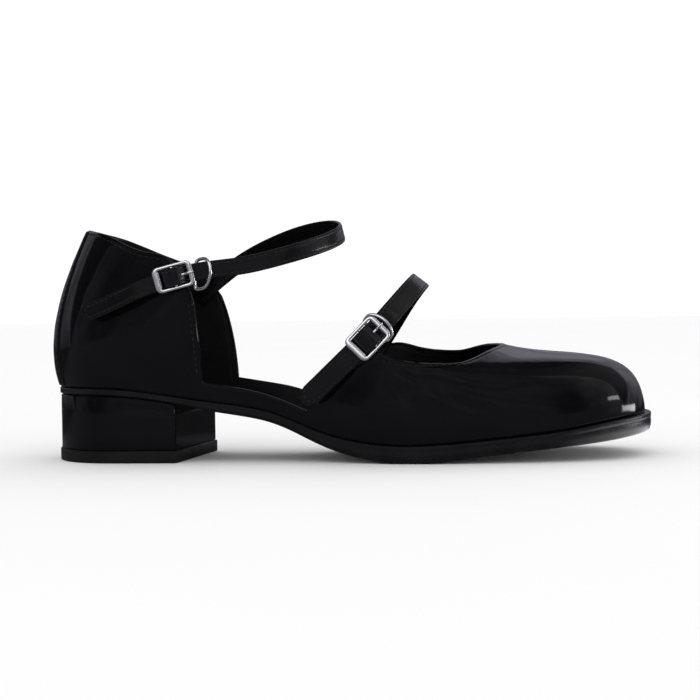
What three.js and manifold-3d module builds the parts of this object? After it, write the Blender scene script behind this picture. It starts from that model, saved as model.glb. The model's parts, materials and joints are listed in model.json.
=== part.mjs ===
// A women's right mary jane shoe with two straps and a low block heel.
// Millimetres, +Z up. X runs from the back of the heel to the toe, +Y is the medial (inner) side.
// All sections are written from the back of the heel; the whole shoe is then shifted so that the
// origin is the middle of the heel's resting face.
import * as THREE from 'three';
import { mergeVertices } from 'three/addons/utils/BufferGeometryUtils.js';
import Module from 'manifold-3d';

const wasm = await Module();
wasm.setup();

// ---------------------------------------------------------------- driving sizes
const SHOE_LENGTH = 255;
const BALL_WIDTH = 84;
const COLLAR_HEIGHT = 98;
const HEEL_REST_X = 31;
const GAP = 0.3;
const WALL = 1.8;
const TOP_PIECE = { height: 5, proud: 0.6 };
const WELT = { waist: 0.5, toe: 2.5, startX: 105, endX: 245 };
const INSOLE = { thick: 1.6, inset: 2.5 };
const THROAT_RISE = { height: 3.6, startX: 172, endX: 188, sharpness: 9 };
const HEEL_BREAST = { lateralX: 56.5, medialX: 65.7 };
const FOREFOOT_FLAT = { startX: 146, endX: 160 };

// The tables below are for this standard last; the driving sizes scale them.
const LAST = { length: 255, ballWidth: 84, collarHeight: 98 };
const scaleX = SHOE_LENGTH / LAST.length;
const scaleY = BALL_WIDTH / LAST.ballWidth;
const scaleZ = COLLAR_HEIGHT / LAST.collarHeight;

// Side profile of the sole: height of its top face and its thickness along the shoe.
const SOLE_PROFILE = [
  { x: 3, top: 30.9, thick: 3.0 },
  { x: 24, top: 30.8, thick: 3.0 },
  { x: 38, top: 29.8, thick: 3.0 },
  { x: 56, top: 27.2, thick: 3.1 },
  { x: 69, top: 25.2, thick: 3.7 },
  { x: 84, top: 23.1, thick: 4.1 },
  { x: 94, top: 21.0, thick: 4.2 },
  { x: 104, top: 17.4, thick: 4.4 },
  { x: 114, top: 13.3, thick: 5.1 },
  { x: 124, top: 10.2, thick: 5.9 },
  { x: 134, top: 8.3, thick: 6.5 },
  { x: 146, top: 7.1, thick: 7.1 },
  { x: 160, top: 7.2, thick: 7.2 },
  { x: 174, top: 8.2, thick: 6.6 },
  { x: 190, top: 9.7, thick: 6.2 },
  { x: 218, top: 12.9, thick: 6.7 },
  { x: 236, top: 15.9, thick: 7.9 },
  { x: 255, top: 18.1, thick: 7.6 },
];

// The upper is lofted through ribs that run from the sole's edge up to the topline, one row each,
// from the back of the heel along the lateral side to the toe and back along the medial side.
// foot: where the rib stands on the sole; top: its end on the topline;
// low and high: how far the rib's two handles stand out from the foot, and up or down from its ends;
// wall: height of the low wall that is left where the side is cut away between quarter and vamp;
// steps: how finely the shell is divided from this rib to the next one.
const RIB_COLUMNS = [
  'footX', 'footY', 'topX', 'topY', 'topZ', 'lowOut', 'lowUp', 'highOut', 'highDown', 'wall', 'steps',
];
const RIBS = [
  [3.0, 1.5, 15.6, 1.5, 98.1, 7.9, 22, 2.2, 19, 8.0, 3], // centre back
  [6.9, -12.6, 19.6, -8.0, 97.1, 7.8, 21, 2.6, 19, 8.0, 3], // lateral heel round
  [18.0, -23.0, 28.5, -18.0, 94.4, 7.8, 20, 3.4, 20, 8.0, 4], // lateral counter
  [38.0, -26.4, 44.0, -27.0, 87.5, 7.2, 18, 4.0, 20, 8.0, 4], // lateral quarter
  [56.0, -27.0, 58.5, -31.6, 81.2, 5.0, 17, 3.6, 18, 7.6, 3], // lateral quarter, under the buckle
  [68.8, -27.3, 65.4, -33.0, 69.2, 2.2, 15, 2.6, 15, 7.4, 6], // lateral quarter's front edge
  [90.0, -27.2, 101.0, -35.0, 58.0, 0.6, 12, 2.2, 12, 6.6, 5], // lateral waist
  [109.0, -28.5, 138.5, -36.2, 46.2, 2.0, 8, 1.2, 10, 5.5, 4], // lateral wing's rear edge
  [134.0, -34.5, 147.0, -36.4, 42.4, 3.4, 11, 2.2, 9, 6.0, 4], // behind the ball, lateral
  [160.0, -38.0, 160.5, -34.9, 40.6, 3.2, 12, 4.2, 4, 6.0, 4], // ball, lateral
  [190.0, -37.0, 174.0, -29.6, 40.4, 2.8, 15, 4.2, 2, 6.0, 4], // vamp, lateral
  [218.0, -32.6, 183.0, -19.6, 41.2, 2.2, 20, 4.4, 1, 6.0, 4], // toe box, lateral
  [239.0, -22.6, 188.5, -10.0, 42.4, 1.8, 26, 5.0, 1, 6.0, 3], // toe corner, lateral
  [249.3, -10.2, 191.2, -2.4, 43.4, 1.6, 27, 5.2, 1, 6.0, 3], // toe front, lateral
  [252.1, 4.8, 191.8, 4.6, 43.6, 1.6, 27, 5.2, 1, 6.0, 3], // toe
  [248.9, 20.2, 190.2, 11.4, 43.6, 1.6, 27, 5.2, 1, 6.0, 3], // toe front, medial
  [238.0, 32.0, 186.4, 20.4, 43.4, 1.8, 26, 5.0, 1, 6.0, 4], // toe corner, medial
  [216.0, 39.2, 180.0, 28.2, 43.4, 2.6, 20, 4.6, 1, 6.0, 4], // toe box, medial
  [188.0, 41.6, 171.5, 33.0, 43.8, 3.2, 15, 4.6, 2, 6.0, 4], // vamp, medial
  [160.0, 37.6, 160.0, 34.4, 45.0, 3.4, 12, 4.2, 4, 6.5, 4], // ball, medial
  [134.0, 27.8, 147.5, 34.2, 47.4, 3.6, 11, 2.6, 8, 8.0, 4], // behind the ball, medial
  [111.6, 20.6, 137.0, 33.0, 47.2, 3.0, 9, 5.0, 9, 8.6, 5], // medial wing's rear edge
  [93.0, 20.9, 103.0, 31.0, 60.0, 0.4, 12, 2.6, 12, 8.4, 6], // medial waist
  [77.2, 23.4, 67.4, 31.4, 72.4, 1.2, 15, 5.2, 15, 8.4, 3], // medial quarter's front edge
  [58.0, 27.0, 57.5, 32.2, 81.0, 5.0, 17, 4.0, 18, 8.4, 4], // medial quarter, rear of the edge
  [38.0, 28.0, 44.0, 28.0, 87.6, 8.4, 18, 4.4, 20, 8.0, 4], // medial quarter
  [18.0, 25.2, 28.5, 19.8, 94.4, 8.6, 20, 3.8, 20, 8.0, 3], // medial counter
  [6.9, 15.6, 19.6, 10.6, 97.1, 8.2, 21, 2.6, 19, 8.0, 3], // medial heel round
];
const RIB_ROW = { lateralEdge: 5, lateralWing: 7, toe: 14, medialWing: 21, medialEdge: 23 };
const HANDLE_ALONG = { low: 0.05, high: 0.55 };
const LEVELS = { wall: 3, above: 8 };

// Straps: the middle line of each one from its loose tip, over the foot, to its sewn end inside the
// upper. lean tips the strap's upper edge in towards the foot, in degrees.
const ANKLE_STRAP = {
  width: 7.2,
  thick: 1.4,
  tipLength: 6,
  buckleAt: 42.3,
  widthways: new THREE.Vector3(0, 0, 1),
  line: [
    { x: 20.0, y: -31.6, z: 61.3, lean: 10 },
    { x: 33.0, y: -34.8, z: 66.3, lean: 6 },
    { x: 46.0, y: -37.2, z: 72.0, lean: 2 },
    { x: 59.2, y: -38.0, z: 76.3, lean: 0 },
    { x: 71.0, y: -35.6, z: 78.7, lean: 0 },
    { x: 86.0, y: -32.0, z: 80.6, lean: 2 },
    { x: 102.0, y: -28.8, z: 84.3, lean: 5 },
    { x: 116.4, y: -20.4, z: 89.0, lean: 9 },
    { x: 124.8, y: -8.0, z: 94.0, lean: 13 },
    { x: 121.6, y: 4.4, z: 97.0, lean: 15 },
    { x: 109.4, y: 14.2, z: 96.3, lean: 15 },
    { x: 93.4, y: 22.0, z: 91.5, lean: 14 },
    { x: 77.8, y: 27.0, z: 83.8, lean: 11 },
    { x: 66.2, y: 28.0, z: 75.2, lean: 8 },
    { x: 57.6, y: 28.2, z: 68.0, lean: 5 },
  ],
  keeper: { at: 11.7, clear: 2.4, reach: 2.8, backOut: -3.3, bowOut: 3.2, drop: 1.2, swing: -12 },
};
const INSTEP_STRAP = {
  width: 8.8,
  thick: 1.4,
  tipLength: 6,
  buckleAt: 36.6,
  widthways: new THREE.Vector3(-0.79, 0, 0.61),
  line: [
    { x: 110.5, y: -37.4, z: 25.2, lean: 0 },
    { x: 123.5, y: -38.9, z: 37.6, lean: 0 },
    { x: 136.8, y: -39.2, z: 50.6, lean: 0 },
    { x: 145.2, y: -33.0, z: 59.6, lean: 0 },
    { x: 150.8, y: -22.0, z: 66.2, lean: 0 },
    { x: 156.0, y: -10.0, z: 72.2, lean: 0 },
    { x: 157.8, y: 0.0, z: 74.2, lean: 0 },
    { x: 156.2, y: 10.0, z: 72.4, lean: 0 },
    { x: 151.4, y: 20.0, z: 66.0, lean: 0 },
    { x: 145.0, y: 27.2, z: 56.0, lean: 0 },
    { x: 138.2, y: 29.6, z: 45.6, lean: 0 },
    { x: 132.8, y: 28.2, z: 38.2, lean: 0 },
  ],
  keeper: { at: 7.6, clear: 1.9, reach: 2.3, backOut: -3.6, bowOut: 1.1, drop: 0, swing: 0 },
};
const STRAP_STEP = { coarse: 4.2, fine: 1.2, fineReach: 11 };
const TIP_SHARE = 0.35; // width of a strap's loose tip as a share of its full width
const BUCKLE = { length: 16.4, side: 1.4, endBar: 2, centreBar: 1.2, deep: 1.5, clear: 0.3, corner: 2.6 };
const LACING = { over: 1.7, under: -1.75, calm: 11 };
const KEEPER = { wire: 1.4, squareness: 0.45, depthPower: 1.5, steps: 28, sides: 6 };
const PRONG = {
  radius: 0.55, tipRadius: 0.44, sides: 8, startAlong: 2.6, endAlong: 8.4, startOut: 2.9, endOut: 1.7,
};
const CHAPE = {
  thick: 1, narrower: 1.2, behind: 13, deep: 3.2, risen: 1.5, riseFrom: 6, riseTo: 1, steps: 12,
};

// How closely curves are followed.
const SPLINE_SWEEPS = 80;
const HALVINGS = 30;
const HEEL_STEPS = 16;
const CORNER_STEPS = 4;
const PROBE = { outline: 0.5, round: 0.2, rise: 0.01, strap: 0.1 }; // steps that measure directions
const WALL_SEARCH = { from: 0.05, to: 0.8 }; // where on a rib the low wall can end
const SAME_POINT = { merged: 1e-3, pair: 1e-6 };

// ---------------------------------------------------------------- materials
function finish(colour, roughness, metalness) {
  return new THREE.MeshStandardMaterial({ color: colour, roughness, metalness });
}
const PATENT = finish(0x0b0b0c, 0.12, 0);
const STRAP_PATENT = finish(0x0d0d0f, 0.16, 0);
const SOCK = finish(0x17161a, 0.75, 0);
const SOLE_RUBBER = finish(0x101012, 0.5, 0);
const TOP_PIECE_RUBBER = finish(0x141416, 0.65, 0);
const NICKEL = finish(0xc9cacd, 0.2, 1);

// ---------------------------------------------------------------- curves
// A smooth curve through values at knots, with continuous curvature. Where period is given it closes.
function smoothCurve(knots, values, period = 0) {
  const count = knots.length;
  const closed = period > 0;
  const gapAfter = (i) => (i + 1 < count ? knots[i + 1] : knots[0] + period) - knots[i];
  const at = (i) => (i + count) % count;
  const bend = values.map(() => 0);
  for (let sweep = 0; sweep < SPLINE_SWEEPS; sweep += 1) {
    for (let i = closed ? 0 : 1; i < (closed ? count : count - 1); i += 1) {
      const before = gapAfter(at(i - 1));
      const after = gapAfter(i);
      const turn = (values[at(i + 1)] - values[i]) / after - (values[i] - values[at(i - 1)]) / before;
      bend[i] = (6 * turn - before * bend[at(i - 1)] - after * bend[at(i + 1)]) / (2 * (before + after));
    }
  }
  return (place) => {
    let p = place;
    if (closed) p = knots[0] + (((place - knots[0]) % period) + period) % period;
    let i = 0;
    while (i < (closed ? count - 1 : count - 2) && p >= knots[i + 1]) i += 1;
    const h = gapAfter(i);
    const b = (p - knots[i]) / h;
    const a = 1 - b;
    const cubic = ((a ** 3 - a) * bend[i] + (b ** 3 - b) * bend[at(i + 1)]) * h * h / 6;
    return a * values[i] + b * values[at(i + 1)] + cubic;
  };
}

function smoothstep(from, to, value) {
  const f = Math.min(1, Math.max(0, (value - from) / (to - from)));
  return f * f * (3 - 2 * f);
}

const profileKnots = SOLE_PROFILE.map((row) => row.x * scaleX);
const soleTop = smoothCurve(profileKnots, SOLE_PROFILE.map((row) => row.top * scaleZ));
const soleThick = smoothCurve(profileKnots, SOLE_PROFILE.map((row) => row.thick * scaleZ));
function soleUnder(x) {
  if (x >= FOREFOOT_FLAT.startX && x <= FOREFOOT_FLAT.endX) return 0;
  return Math.max(0, soleTop(x) - soleThick(x));
}

// ---------------------------------------------------------------- the loft of the upper
const ribScale = { footX: scaleX, topX: scaleX, footY: scaleY, topY: scaleY, topZ: scaleZ };
function ribColumn(name) {
  const column = RIB_COLUMNS.indexOf(name);
  return RIBS.map((row) => row[column] * (ribScale[name] || 1));
}

const ribKnots = [0];
const ribEnds = ['footX', 'footY', 'topX', 'topY'].map(ribColumn);
for (let i = 0; i < RIBS.length; i += 1) {
  const next = (i + 1) % RIBS.length;
  const foot = Math.hypot(ribEnds[0][next] - ribEnds[0][i], ribEnds[1][next] - ribEnds[1][i]);
  const top = Math.hypot(ribEnds[2][next] - ribEnds[2][i], ribEnds[3][next] - ribEnds[3][i]);
  ribKnots.push(ribKnots[i] + (foot + top) / 2);
}
const GIRTH = ribKnots.pop();
const ribCurves = {};
for (const name of RIB_COLUMNS.slice(0, -1)) {
  ribCurves[name] = smoothCurve(ribKnots, ribColumn(name), GIRTH);
}

// The direction that faces straight out from the outline of the foot, on the ground plane.
function outwards(place) {
  const [before, after] = [place - PROBE.outline, place + PROBE.outline];
  const dx = ribCurves.footX(after) - ribCurves.footX(before);
  const dy = ribCurves.footY(after) - ribCurves.footY(before);
  return new THREE.Vector3(dy, -dx, 0).normalize();
}

// The outline of the foot moved outwards by a margin.
function outlinePoint(place, margin) {
  const point = new THREE.Vector3(ribCurves.footX(place), ribCurves.footY(place), 0);
  return point.addScaledVector(outwards(place), margin);
}

function ribAt(place) {
  const value = (name) => ribCurves[name](place);
  const foot = new THREE.Vector3(value('footX'), value('footY'), 0);
  foot.z = soleTop(foot.x) + GAP;
  const top = new THREE.Vector3(value('topX'), value('topY'), value('topZ'));
  const along = top.clone().sub(foot).setZ(0);
  const out = outwards(place);
  const low = foot.clone().addScaledVector(along, HANDLE_ALONG.low).addScaledVector(out, value('lowOut'));
  low.z += value('lowUp');
  const high = top.clone().addScaledVector(along, -HANDLE_ALONG.high).addScaledVector(out, value('highOut'));
  high.z -= value('highDown');
  const throat = smoothstep(THROAT_RISE.startX, THROAT_RISE.endX, top.x) * THROAT_RISE.height;
  const curve = new THREE.CubicBezierCurve3(foot, low, high, top);
  const pointAt = (t) => {
    const point = curve.getPoint(t);
    point.z += throat * t ** THROAT_RISE.sharpness;
    return point;
  };
  let wallTop = WALL_SEARCH.from;
  let upper = WALL_SEARCH.to;
  for (let halving = 0; halving < HALVINGS; halving += 1) {
    const middle = (wallTop + upper) / 2;
    if (pointAt(middle).z < foot.z + value('wall')) wallTop = middle;
    else upper = middle;
  }
  return { pointAt, wallTop };
}

// Height along a rib at a grid level: the low wall first, then the part above it.
function riseAt(rib, level) {
  if (level <= LEVELS.wall) return rib.wallTop * level / LEVELS.wall;
  return rib.wallTop + (1 - rib.wallTop) * (level - LEVELS.wall) / LEVELS.above;
}

// Places of the ribs round the shoe: every row of the table, and an even number of steps between.
// Steps on the medial side mirror those on the lateral side, so that the two sides pair up.
const places = [];
const rowStart = [];
const lastRow = RIBS.length - 1;
for (let i = 0; i <= lastRow; i += 1) {
  const lateral = i < RIB_ROW.toe ? i : lastRow - i;
  const steps = RIBS[lateral][RIB_COLUMNS.indexOf('steps')];
  const end = i < lastRow ? ribKnots[i + 1] : GIRTH;
  rowStart.push(places.length);
  for (let s = 0; s < steps; s += 1) places.push(ribKnots[i] + (end - ribKnots[i]) * s / steps);
}

// ---------------------------------------------------------------- solids
class Shell {
  constructor() {
    this.points = [];
    this.faces = [];
  }

  point(p) {
    this.points.push(p.x, p.y, p.z);
    return this.points.length / 3 - 1;
  }

  triangle(a, b, c) {
    if (a !== b && b !== c && c !== a) this.faces.push(a, b, c);
  }

  quad(a, b, c, d) {
    this.triangle(a, b, c);
    this.triangle(a, c, d);
  }

  geometry() {
    const geometry = new THREE.BufferGeometry();
    geometry.setAttribute('position', new THREE.Float32BufferAttribute(this.points, 3));
    geometry.setIndex(this.faces);
    geometry.computeVertexNormals();
    return geometry;
  }
}

// A closed geometry as a solid that can be cut, and back again.
function solid(geometry) {
  const bare = geometry.clone();
  bare.deleteAttribute('normal');
  bare.deleteAttribute('uv');
  const merged = mergeVertices(bare, SAME_POINT.merged);
  return new wasm.Manifold(new wasm.Mesh({
    numProp: 3,
    vertProperties: new Float32Array(merged.attributes.position.array),
    triVerts: new Uint32Array(merged.index.array),
  }));
}

function geometryOf(manifold) {
  const mesh = manifold.getMesh();
  const geometry = new THREE.BufferGeometry();
  geometry.setAttribute('position', new THREE.BufferAttribute(mesh.vertProperties, mesh.numProp));
  geometry.setIndex(new THREE.BufferAttribute(mesh.triVerts, 1));
  geometry.computeVertexNormals();
  return geometry;
}

// The upper: one hollow shell, open at the collar, at both side cut-outs, at the throat and below.
function upperGeometry() {
  const shell = new Shell();
  const count = places.length;
  const levels = LEVELS.wall + LEVELS.above;
  const outer = [];
  const inner = [];
  const ribs = places.map(ribAt);
  const surface = ribs.map((rib) => {
    const points = [];
    for (let level = 0; level <= levels; level += 1) points.push(rib.pointAt(riseAt(rib, level)));
    return points;
  });
  for (let i = 0; i < count; i += 1) {
    const before = ribAt(places[i] - PROBE.round);
    const after = ribAt(places[i] + PROBE.round);
    outer.push([]);
    inner.push([]);
    for (let level = 0; level <= levels; level += 1) {
      const rise = riseAt(ribs[i], level);
      const round = after.pointAt(riseAt(after, level)).sub(before.pointAt(riseAt(before, level)));
      const [lower, higher] = [Math.max(0, rise - PROBE.rise), Math.min(1, rise + PROBE.rise)];
      const up = ribs[i].pointAt(higher).sub(ribs[i].pointAt(lower));
      const normal = round.cross(up).normalize();
      if (level === 0) normal.setZ(0).normalize();
      const point = surface[i][level];
      outer[i].push(shell.point(point));
      inner[i].push(shell.point(point.clone().addScaledVector(normal, -WALL)));
    }
  }
  const isCut = (i) => (i >= rowStart[RIB_ROW.lateralEdge] && i < rowStart[RIB_ROW.lateralWing])
    || (i >= rowStart[RIB_ROW.medialWing] && i < rowStart[RIB_ROW.medialEdge]);
  const present = (i, level) => {
    if (level < 0 || level >= levels) return false;
    return level < LEVELS.wall || !isCut((i + count) % count);
  };
  for (let i = 0; i < count; i += 1) {
    const next = (i + 1) % count;
    for (let level = 0; level < levels; level += 1) {
      if (!present(i, level)) continue;
      const up = level + 1;
      shell.quad(outer[i][level], outer[next][level], outer[next][up], outer[i][up]);
      shell.quad(inner[i][level], inner[i][up], inner[next][up], inner[next][level]);
      if (!present(i, level - 1)) {
        shell.quad(outer[i][level], inner[i][level], inner[next][level], outer[next][level]);
      }
      if (!present(i, level + 1)) {
        shell.quad(outer[i][up], outer[next][up], inner[next][up], inner[i][up]);
      }
      if (!present(i - 1, level)) {
        shell.quad(outer[i][level], outer[i][up], inner[i][up], inner[i][level]);
      }
      if (!present(i + 1, level)) {
        shell.quad(outer[next][level], inner[next][level], inner[next][up], outer[next][up]);
      }
    }
  }
  return shell.geometry();
}

// A slab that follows the outline of the foot. Each pair holds a lateral and a medial point at the
// same stage from the back to the front; a pair whose points agree closes that end.
function slabGeometry(pairs, topAt, underAt) {
  const shell = new Shell();
  const rows = pairs.map(([lateral, medial]) => {
    const single = lateral.distanceTo(medial) < SAME_POINT.pair;
    const lift = (p, heightAt) => shell.point(new THREE.Vector3(p.x, p.y, heightAt(p.x)));
    const lateralTop = lift(lateral, topAt);
    const lateralUnder = lift(lateral, underAt);
    return {
      lateralTop,
      lateralUnder,
      medialTop: single ? lateralTop : lift(medial, topAt),
      medialUnder: single ? lateralUnder : lift(medial, underAt),
    };
  });
  for (let i = 0; i + 1 < rows.length; i += 1) {
    const a = rows[i];
    const b = rows[i + 1];
    shell.quad(a.lateralTop, b.lateralTop, b.medialTop, a.medialTop);
    shell.quad(a.lateralUnder, a.medialUnder, b.medialUnder, b.lateralUnder);
    shell.quad(a.lateralUnder, b.lateralUnder, b.lateralTop, a.lateralTop);
    shell.quad(b.medialUnder, a.medialUnder, a.medialTop, b.medialTop);
  }
  const end = rows[rows.length - 1];
  shell.quad(end.lateralUnder, end.medialUnder, end.medialTop, end.lateralTop);
  return shell.geometry();
}

// Pairs of outline points for the whole foot, from the back to the toe.
function footPairs(marginAt) {
  const toe = rowStart[RIB_ROW.toe];
  const pairs = [];
  for (let i = 0; i <= toe; i += 1) {
    const medialPlace = places[(places.length - i) % places.length];
    const lateral = outlinePoint(places[i], marginAt(ribCurves.footX(places[i])));
    const medial = outlinePoint(medialPlace, marginAt(ribCurves.footX(medialPlace)));
    pairs.push([lateral, medial]);
  }
  return pairs;
}

// Pairs of outline points for the heel, from the back to the slanting breast.
function heelPairs(margin) {
  const breastPlace = (targetX, from, to) => {
    let near = from;
    let far = to;
    for (let halving = 0; halving < HALVINGS; halving += 1) {
      const middle = (near + far) / 2;
      if (ribCurves.footX(middle) < targetX) near = middle;
      else far = middle;
    }
    return near;
  };
  const lateralEnd = breastPlace(HEEL_BREAST.lateralX * scaleX, 0, ribKnots[RIB_ROW.lateralWing]);
  const medialEnd = breastPlace(HEEL_BREAST.medialX * scaleX, 0, ribKnots[RIB_ROW.medialWing] - GIRTH);
  const pairs = [];
  for (let i = 0; i <= HEEL_STEPS; i += 1) {
    const share = i / HEEL_STEPS;
    pairs.push([outlinePoint(lateralEnd * share, margin), outlinePoint(medialEnd * share, margin)]);
  }
  return pairs;
}

function weltMargin(x) {
  return WELT.waist + (WELT.toe - WELT.waist) * smoothstep(WELT.startX, WELT.endX, x);
}

// ---------------------------------------------------------------- straps and buckles
// The middle line of a strap with its directions: ahead, widthways and out from the foot.
function strapPath(strap) {
  const line = strap.line.map((row) => ({
    x: row.x * scaleX, y: row.y * scaleY, z: row.z * scaleZ, lean: row.lean,
  }));
  const knots = [0];
  for (let i = 1; i < line.length; i += 1) {
    const [p, q] = [line[i - 1], line[i]];
    knots.push(knots[i - 1] + Math.hypot(q.x - p.x, q.y - p.y, q.z - p.z));
  }
  const curve = {};
  for (const name of ['x', 'y', 'z', 'lean']) {
    curve[name] = smoothCurve(knots, line.map((row) => row[name]));
  }
  const middle = (s) => new THREE.Vector3(curve.x(s), curve.y(s), curve.z(s));
  const frameAt = (s) => {
    const ahead = middle(s + PROBE.strap).sub(middle(s - PROBE.strap)).normalize();
    const upright = strap.widthways.clone().addScaledVector(ahead, -strap.widthways.dot(ahead)).normalize();
    const flat = new THREE.Vector3().crossVectors(ahead, upright);
    const lean = THREE.MathUtils.degToRad(curve.lean(s));
    const wide = upright.clone().multiplyScalar(Math.cos(lean)).addScaledVector(flat, -Math.sin(lean));
    const out = new THREE.Vector3().crossVectors(ahead, wide);
    return { middle: middle(s), ahead, wide, out };
  };
  return { length: knots[knots.length - 1], frameAt };
}

// How far the strap swings out and in as it is laced through its buckle: under the toe bar, over the
// centre bar and under the heel bar, and smoothly back to its line on both sides.
function lacedOffset(fromBuckle) {
  const half = (BUCKLE.length - BUCKLE.endBar) / 2;
  const { over, under, calm } = LACING;
  const far = Math.abs(fromBuckle);
  if (far <= half) return (over + under) / 2 + (over - under) / 2 * Math.cos(Math.PI * far / half);
  return under * (1 - smoothstep(half, half + calm, far));
}

function ribbonGeometry(path, stations, widthAt, thick, offsetAt) {
  const shell = new Shell();
  const rings = [];
  for (const s of stations) {
    const { middle, wide, out } = path.frameAt(s);
    const centre = middle.addScaledVector(out, offsetAt(s));
    const corner = (across, deep) => shell.point(
      centre.clone().addScaledVector(wide, across * widthAt(s) / 2).addScaledVector(out, deep * thick / 2),
    );
    rings.push([corner(-1, 1), corner(1, 1), corner(1, -1), corner(-1, -1)]);
  }
  for (let i = 0; i + 1 < rings.length; i += 1) {
    for (let k = 0; k < 4; k += 1) {
      const l = (k + 1) % 4;
      shell.quad(rings[i][k], rings[i + 1][k], rings[i + 1][l], rings[i][l]);
    }
  }
  const [first, last] = [rings[0], rings[rings.length - 1]];
  shell.quad(first[0], first[1], first[2], first[3]);
  shell.quad(last[3], last[2], last[1], last[0]);
  return shell.geometry();
}

function strapGeometry(strap, path) {
  const widthAt = (s) => strap.width * Math.min(1, TIP_SHARE + (1 - TIP_SHARE) * s / strap.tipLength);
  const offsetAt = (s) => lacedOffset(s - strap.buckleAt);
  const stations = [0];
  while (stations[stations.length - 1] < path.length - STRAP_STEP.coarse) {
    const s = stations[stations.length - 1];
    const near = Math.abs(s - strap.buckleAt) < STRAP_STEP.fineReach;
    stations.push(s + (near ? STRAP_STEP.fine : STRAP_STEP.coarse));
  }
  stations.push(path.length);
  return ribbonGeometry(path, stations, widthAt, strap.thick, offsetAt);
}

function chapeGeometry(strap, path) {
  const { buckleAt } = strap;
  const width = strap.width - CHAPE.narrower;
  const offsetAt = (s) => {
    const rise = smoothstep(buckleAt - CHAPE.riseFrom, buckleAt - CHAPE.riseTo, s);
    return -CHAPE.deep + (CHAPE.deep - CHAPE.risen) * rise;
  };
  const stations = [];
  for (let i = 0; i <= CHAPE.steps; i += 1) stations.push(buckleAt - CHAPE.behind * (1 - i / CHAPE.steps));
  return ribbonGeometry(path, stations, () => width, CHAPE.thick, offsetAt);
}

function roundedRectangle(length, width, radius) {
  const points = [];
  for (let corner = 0; corner < 4; corner += 1) {
    const side = corner === 0 || corner === 3 ? 1 : -1;
    const centreX = side * (length / 2 - radius);
    const centreY = (corner < 2 ? 1 : -1) * (width / 2 - radius);
    for (let i = 0; i <= CORNER_STEPS; i += 1) {
      const angle = Math.PI / 2 * (corner + i / CORNER_STEPS);
      points.push(new THREE.Vector2(centreX + radius * Math.cos(angle), centreY + radius * Math.sin(angle)));
    }
  }
  return points;
}

// A rounded rectangular frame with a centre bar and two windows, lying in the local XY plane.
function buckleGeometry(strapWidth) {
  const inside = strapWidth + 2 * BUCKLE.clear;
  const outline = new THREE.Shape(roundedRectangle(BUCKLE.length, inside + 2 * BUCKLE.side, BUCKLE.corner));
  const plate = new THREE.ExtrudeGeometry(outline, { depth: BUCKLE.deep, bevelEnabled: false });
  plate.translate(0, 0, -BUCKLE.deep / 2);
  const windowEnd = BUCKLE.length / 2 - BUCKLE.endBar;
  const windowLength = windowEnd - BUCKLE.centreBar / 2;
  let frame = solid(plate);
  for (const side of [-1, 1]) {
    const window = new THREE.BoxGeometry(windowLength, inside, 2 * BUCKLE.deep);
    window.translate(side * (windowEnd - windowLength / 2), 0, 0);
    frame = frame.subtract(solid(window));
  }
  return geometryOf(frame);
}

// A D-shaped ring round the strap: its straight side lies behind the strap, its bow in front.
class KeeperCurve extends THREE.Curve {
  constructor(strap) {
    super();
    this.keeper = strap.keeper;
    this.halfWidth = strap.width / 2 + strap.keeper.clear;
  }

  getPoint(t) {
    const { reach, backOut, bowOut, drop, swing } = this.keeper;
    const angle = 2 * Math.PI * t;
    const power = Math.cos(angle) < 0 ? KEEPER.squareness : 1;
    const forward = Math.sign(Math.cos(angle)) * Math.abs(Math.cos(angle)) ** power;
    const across = Math.sign(Math.sin(angle)) * Math.abs(Math.sin(angle)) ** power * this.halfWidth;
    const share = (1 + forward) / 2;
    const turn = THREE.MathUtils.degToRad(swing) * across;
    return new THREE.Vector3(
      reach * forward - turn,
      across - drop,
      backOut + (bowOut - backOut) * share ** KEEPER.depthPower,
    );
  }
}

function keeperGeometry(strap) {
  const curve = new KeeperCurve(strap);
  const shell = new Shell();
  const { steps, sides } = KEEPER;
  const frames = curve.computeFrenetFrames(steps, true);
  const rings = [];
  for (let i = 0; i < steps; i += 1) {
    const centre = curve.getPointAt(i / steps);
    const ring = [];
    for (let k = 0; k < sides; k += 1) {
      const angle = 2 * Math.PI * k / sides;
      ring.push(shell.point(centre.clone()
        .addScaledVector(frames.normals[i], Math.cos(angle) * KEEPER.wire / 2)
        .addScaledVector(frames.binormals[i], Math.sin(angle) * KEEPER.wire / 2)));
    }
    rings.push(ring);
  }
  for (let i = 0; i < steps; i += 1) {
    const next = rings[(i + 1) % steps];
    for (let k = 0; k < sides; k += 1) {
      const l = (k + 1) % sides;
      shell.quad(rings[i][k], rings[i][l], next[l], next[k]);
    }
  }
  return shell.geometry();
}

function prongGeometry() {
  const start = new THREE.Vector3(PRONG.startAlong, 0, PRONG.startOut);
  const end = new THREE.Vector3(PRONG.endAlong, 0, PRONG.endOut);
  const length = start.distanceTo(end);
  const geometry = new THREE.CylinderGeometry(PRONG.tipRadius, PRONG.radius, length, PRONG.sides);
  const turn = new THREE.Quaternion().setFromUnitVectors(
    new THREE.Vector3(0, 1, 0), end.clone().sub(start).normalize(),
  );
  geometry.applyQuaternion(turn);
  geometry.translate((start.x + end.x) / 2, 0, (start.z + end.z) / 2);
  return geometry;
}

// ---------------------------------------------------------------- the shoe
const shoe = new THREE.Group();
shoe.position.set(-HEEL_REST_X, 0, 0);

function add(name, geometry, material) {
  const mesh = new THREE.Mesh(geometry, material);
  mesh.name = name;
  shoe.add(mesh);
  return mesh;
}

// Places a hard piece on a strap: local X ahead along the strap, Y widthways, Z out from the foot.
function addOnStrap(name, geometry, path, at) {
  const mesh = add(name, geometry, NICKEL);
  const { middle, ahead, wide, out } = path.frameAt(at);
  mesh.position.copy(middle);
  mesh.quaternion.setFromRotationMatrix(new THREE.Matrix4().makeBasis(ahead, wide, out));
  return mesh;
}

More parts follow.
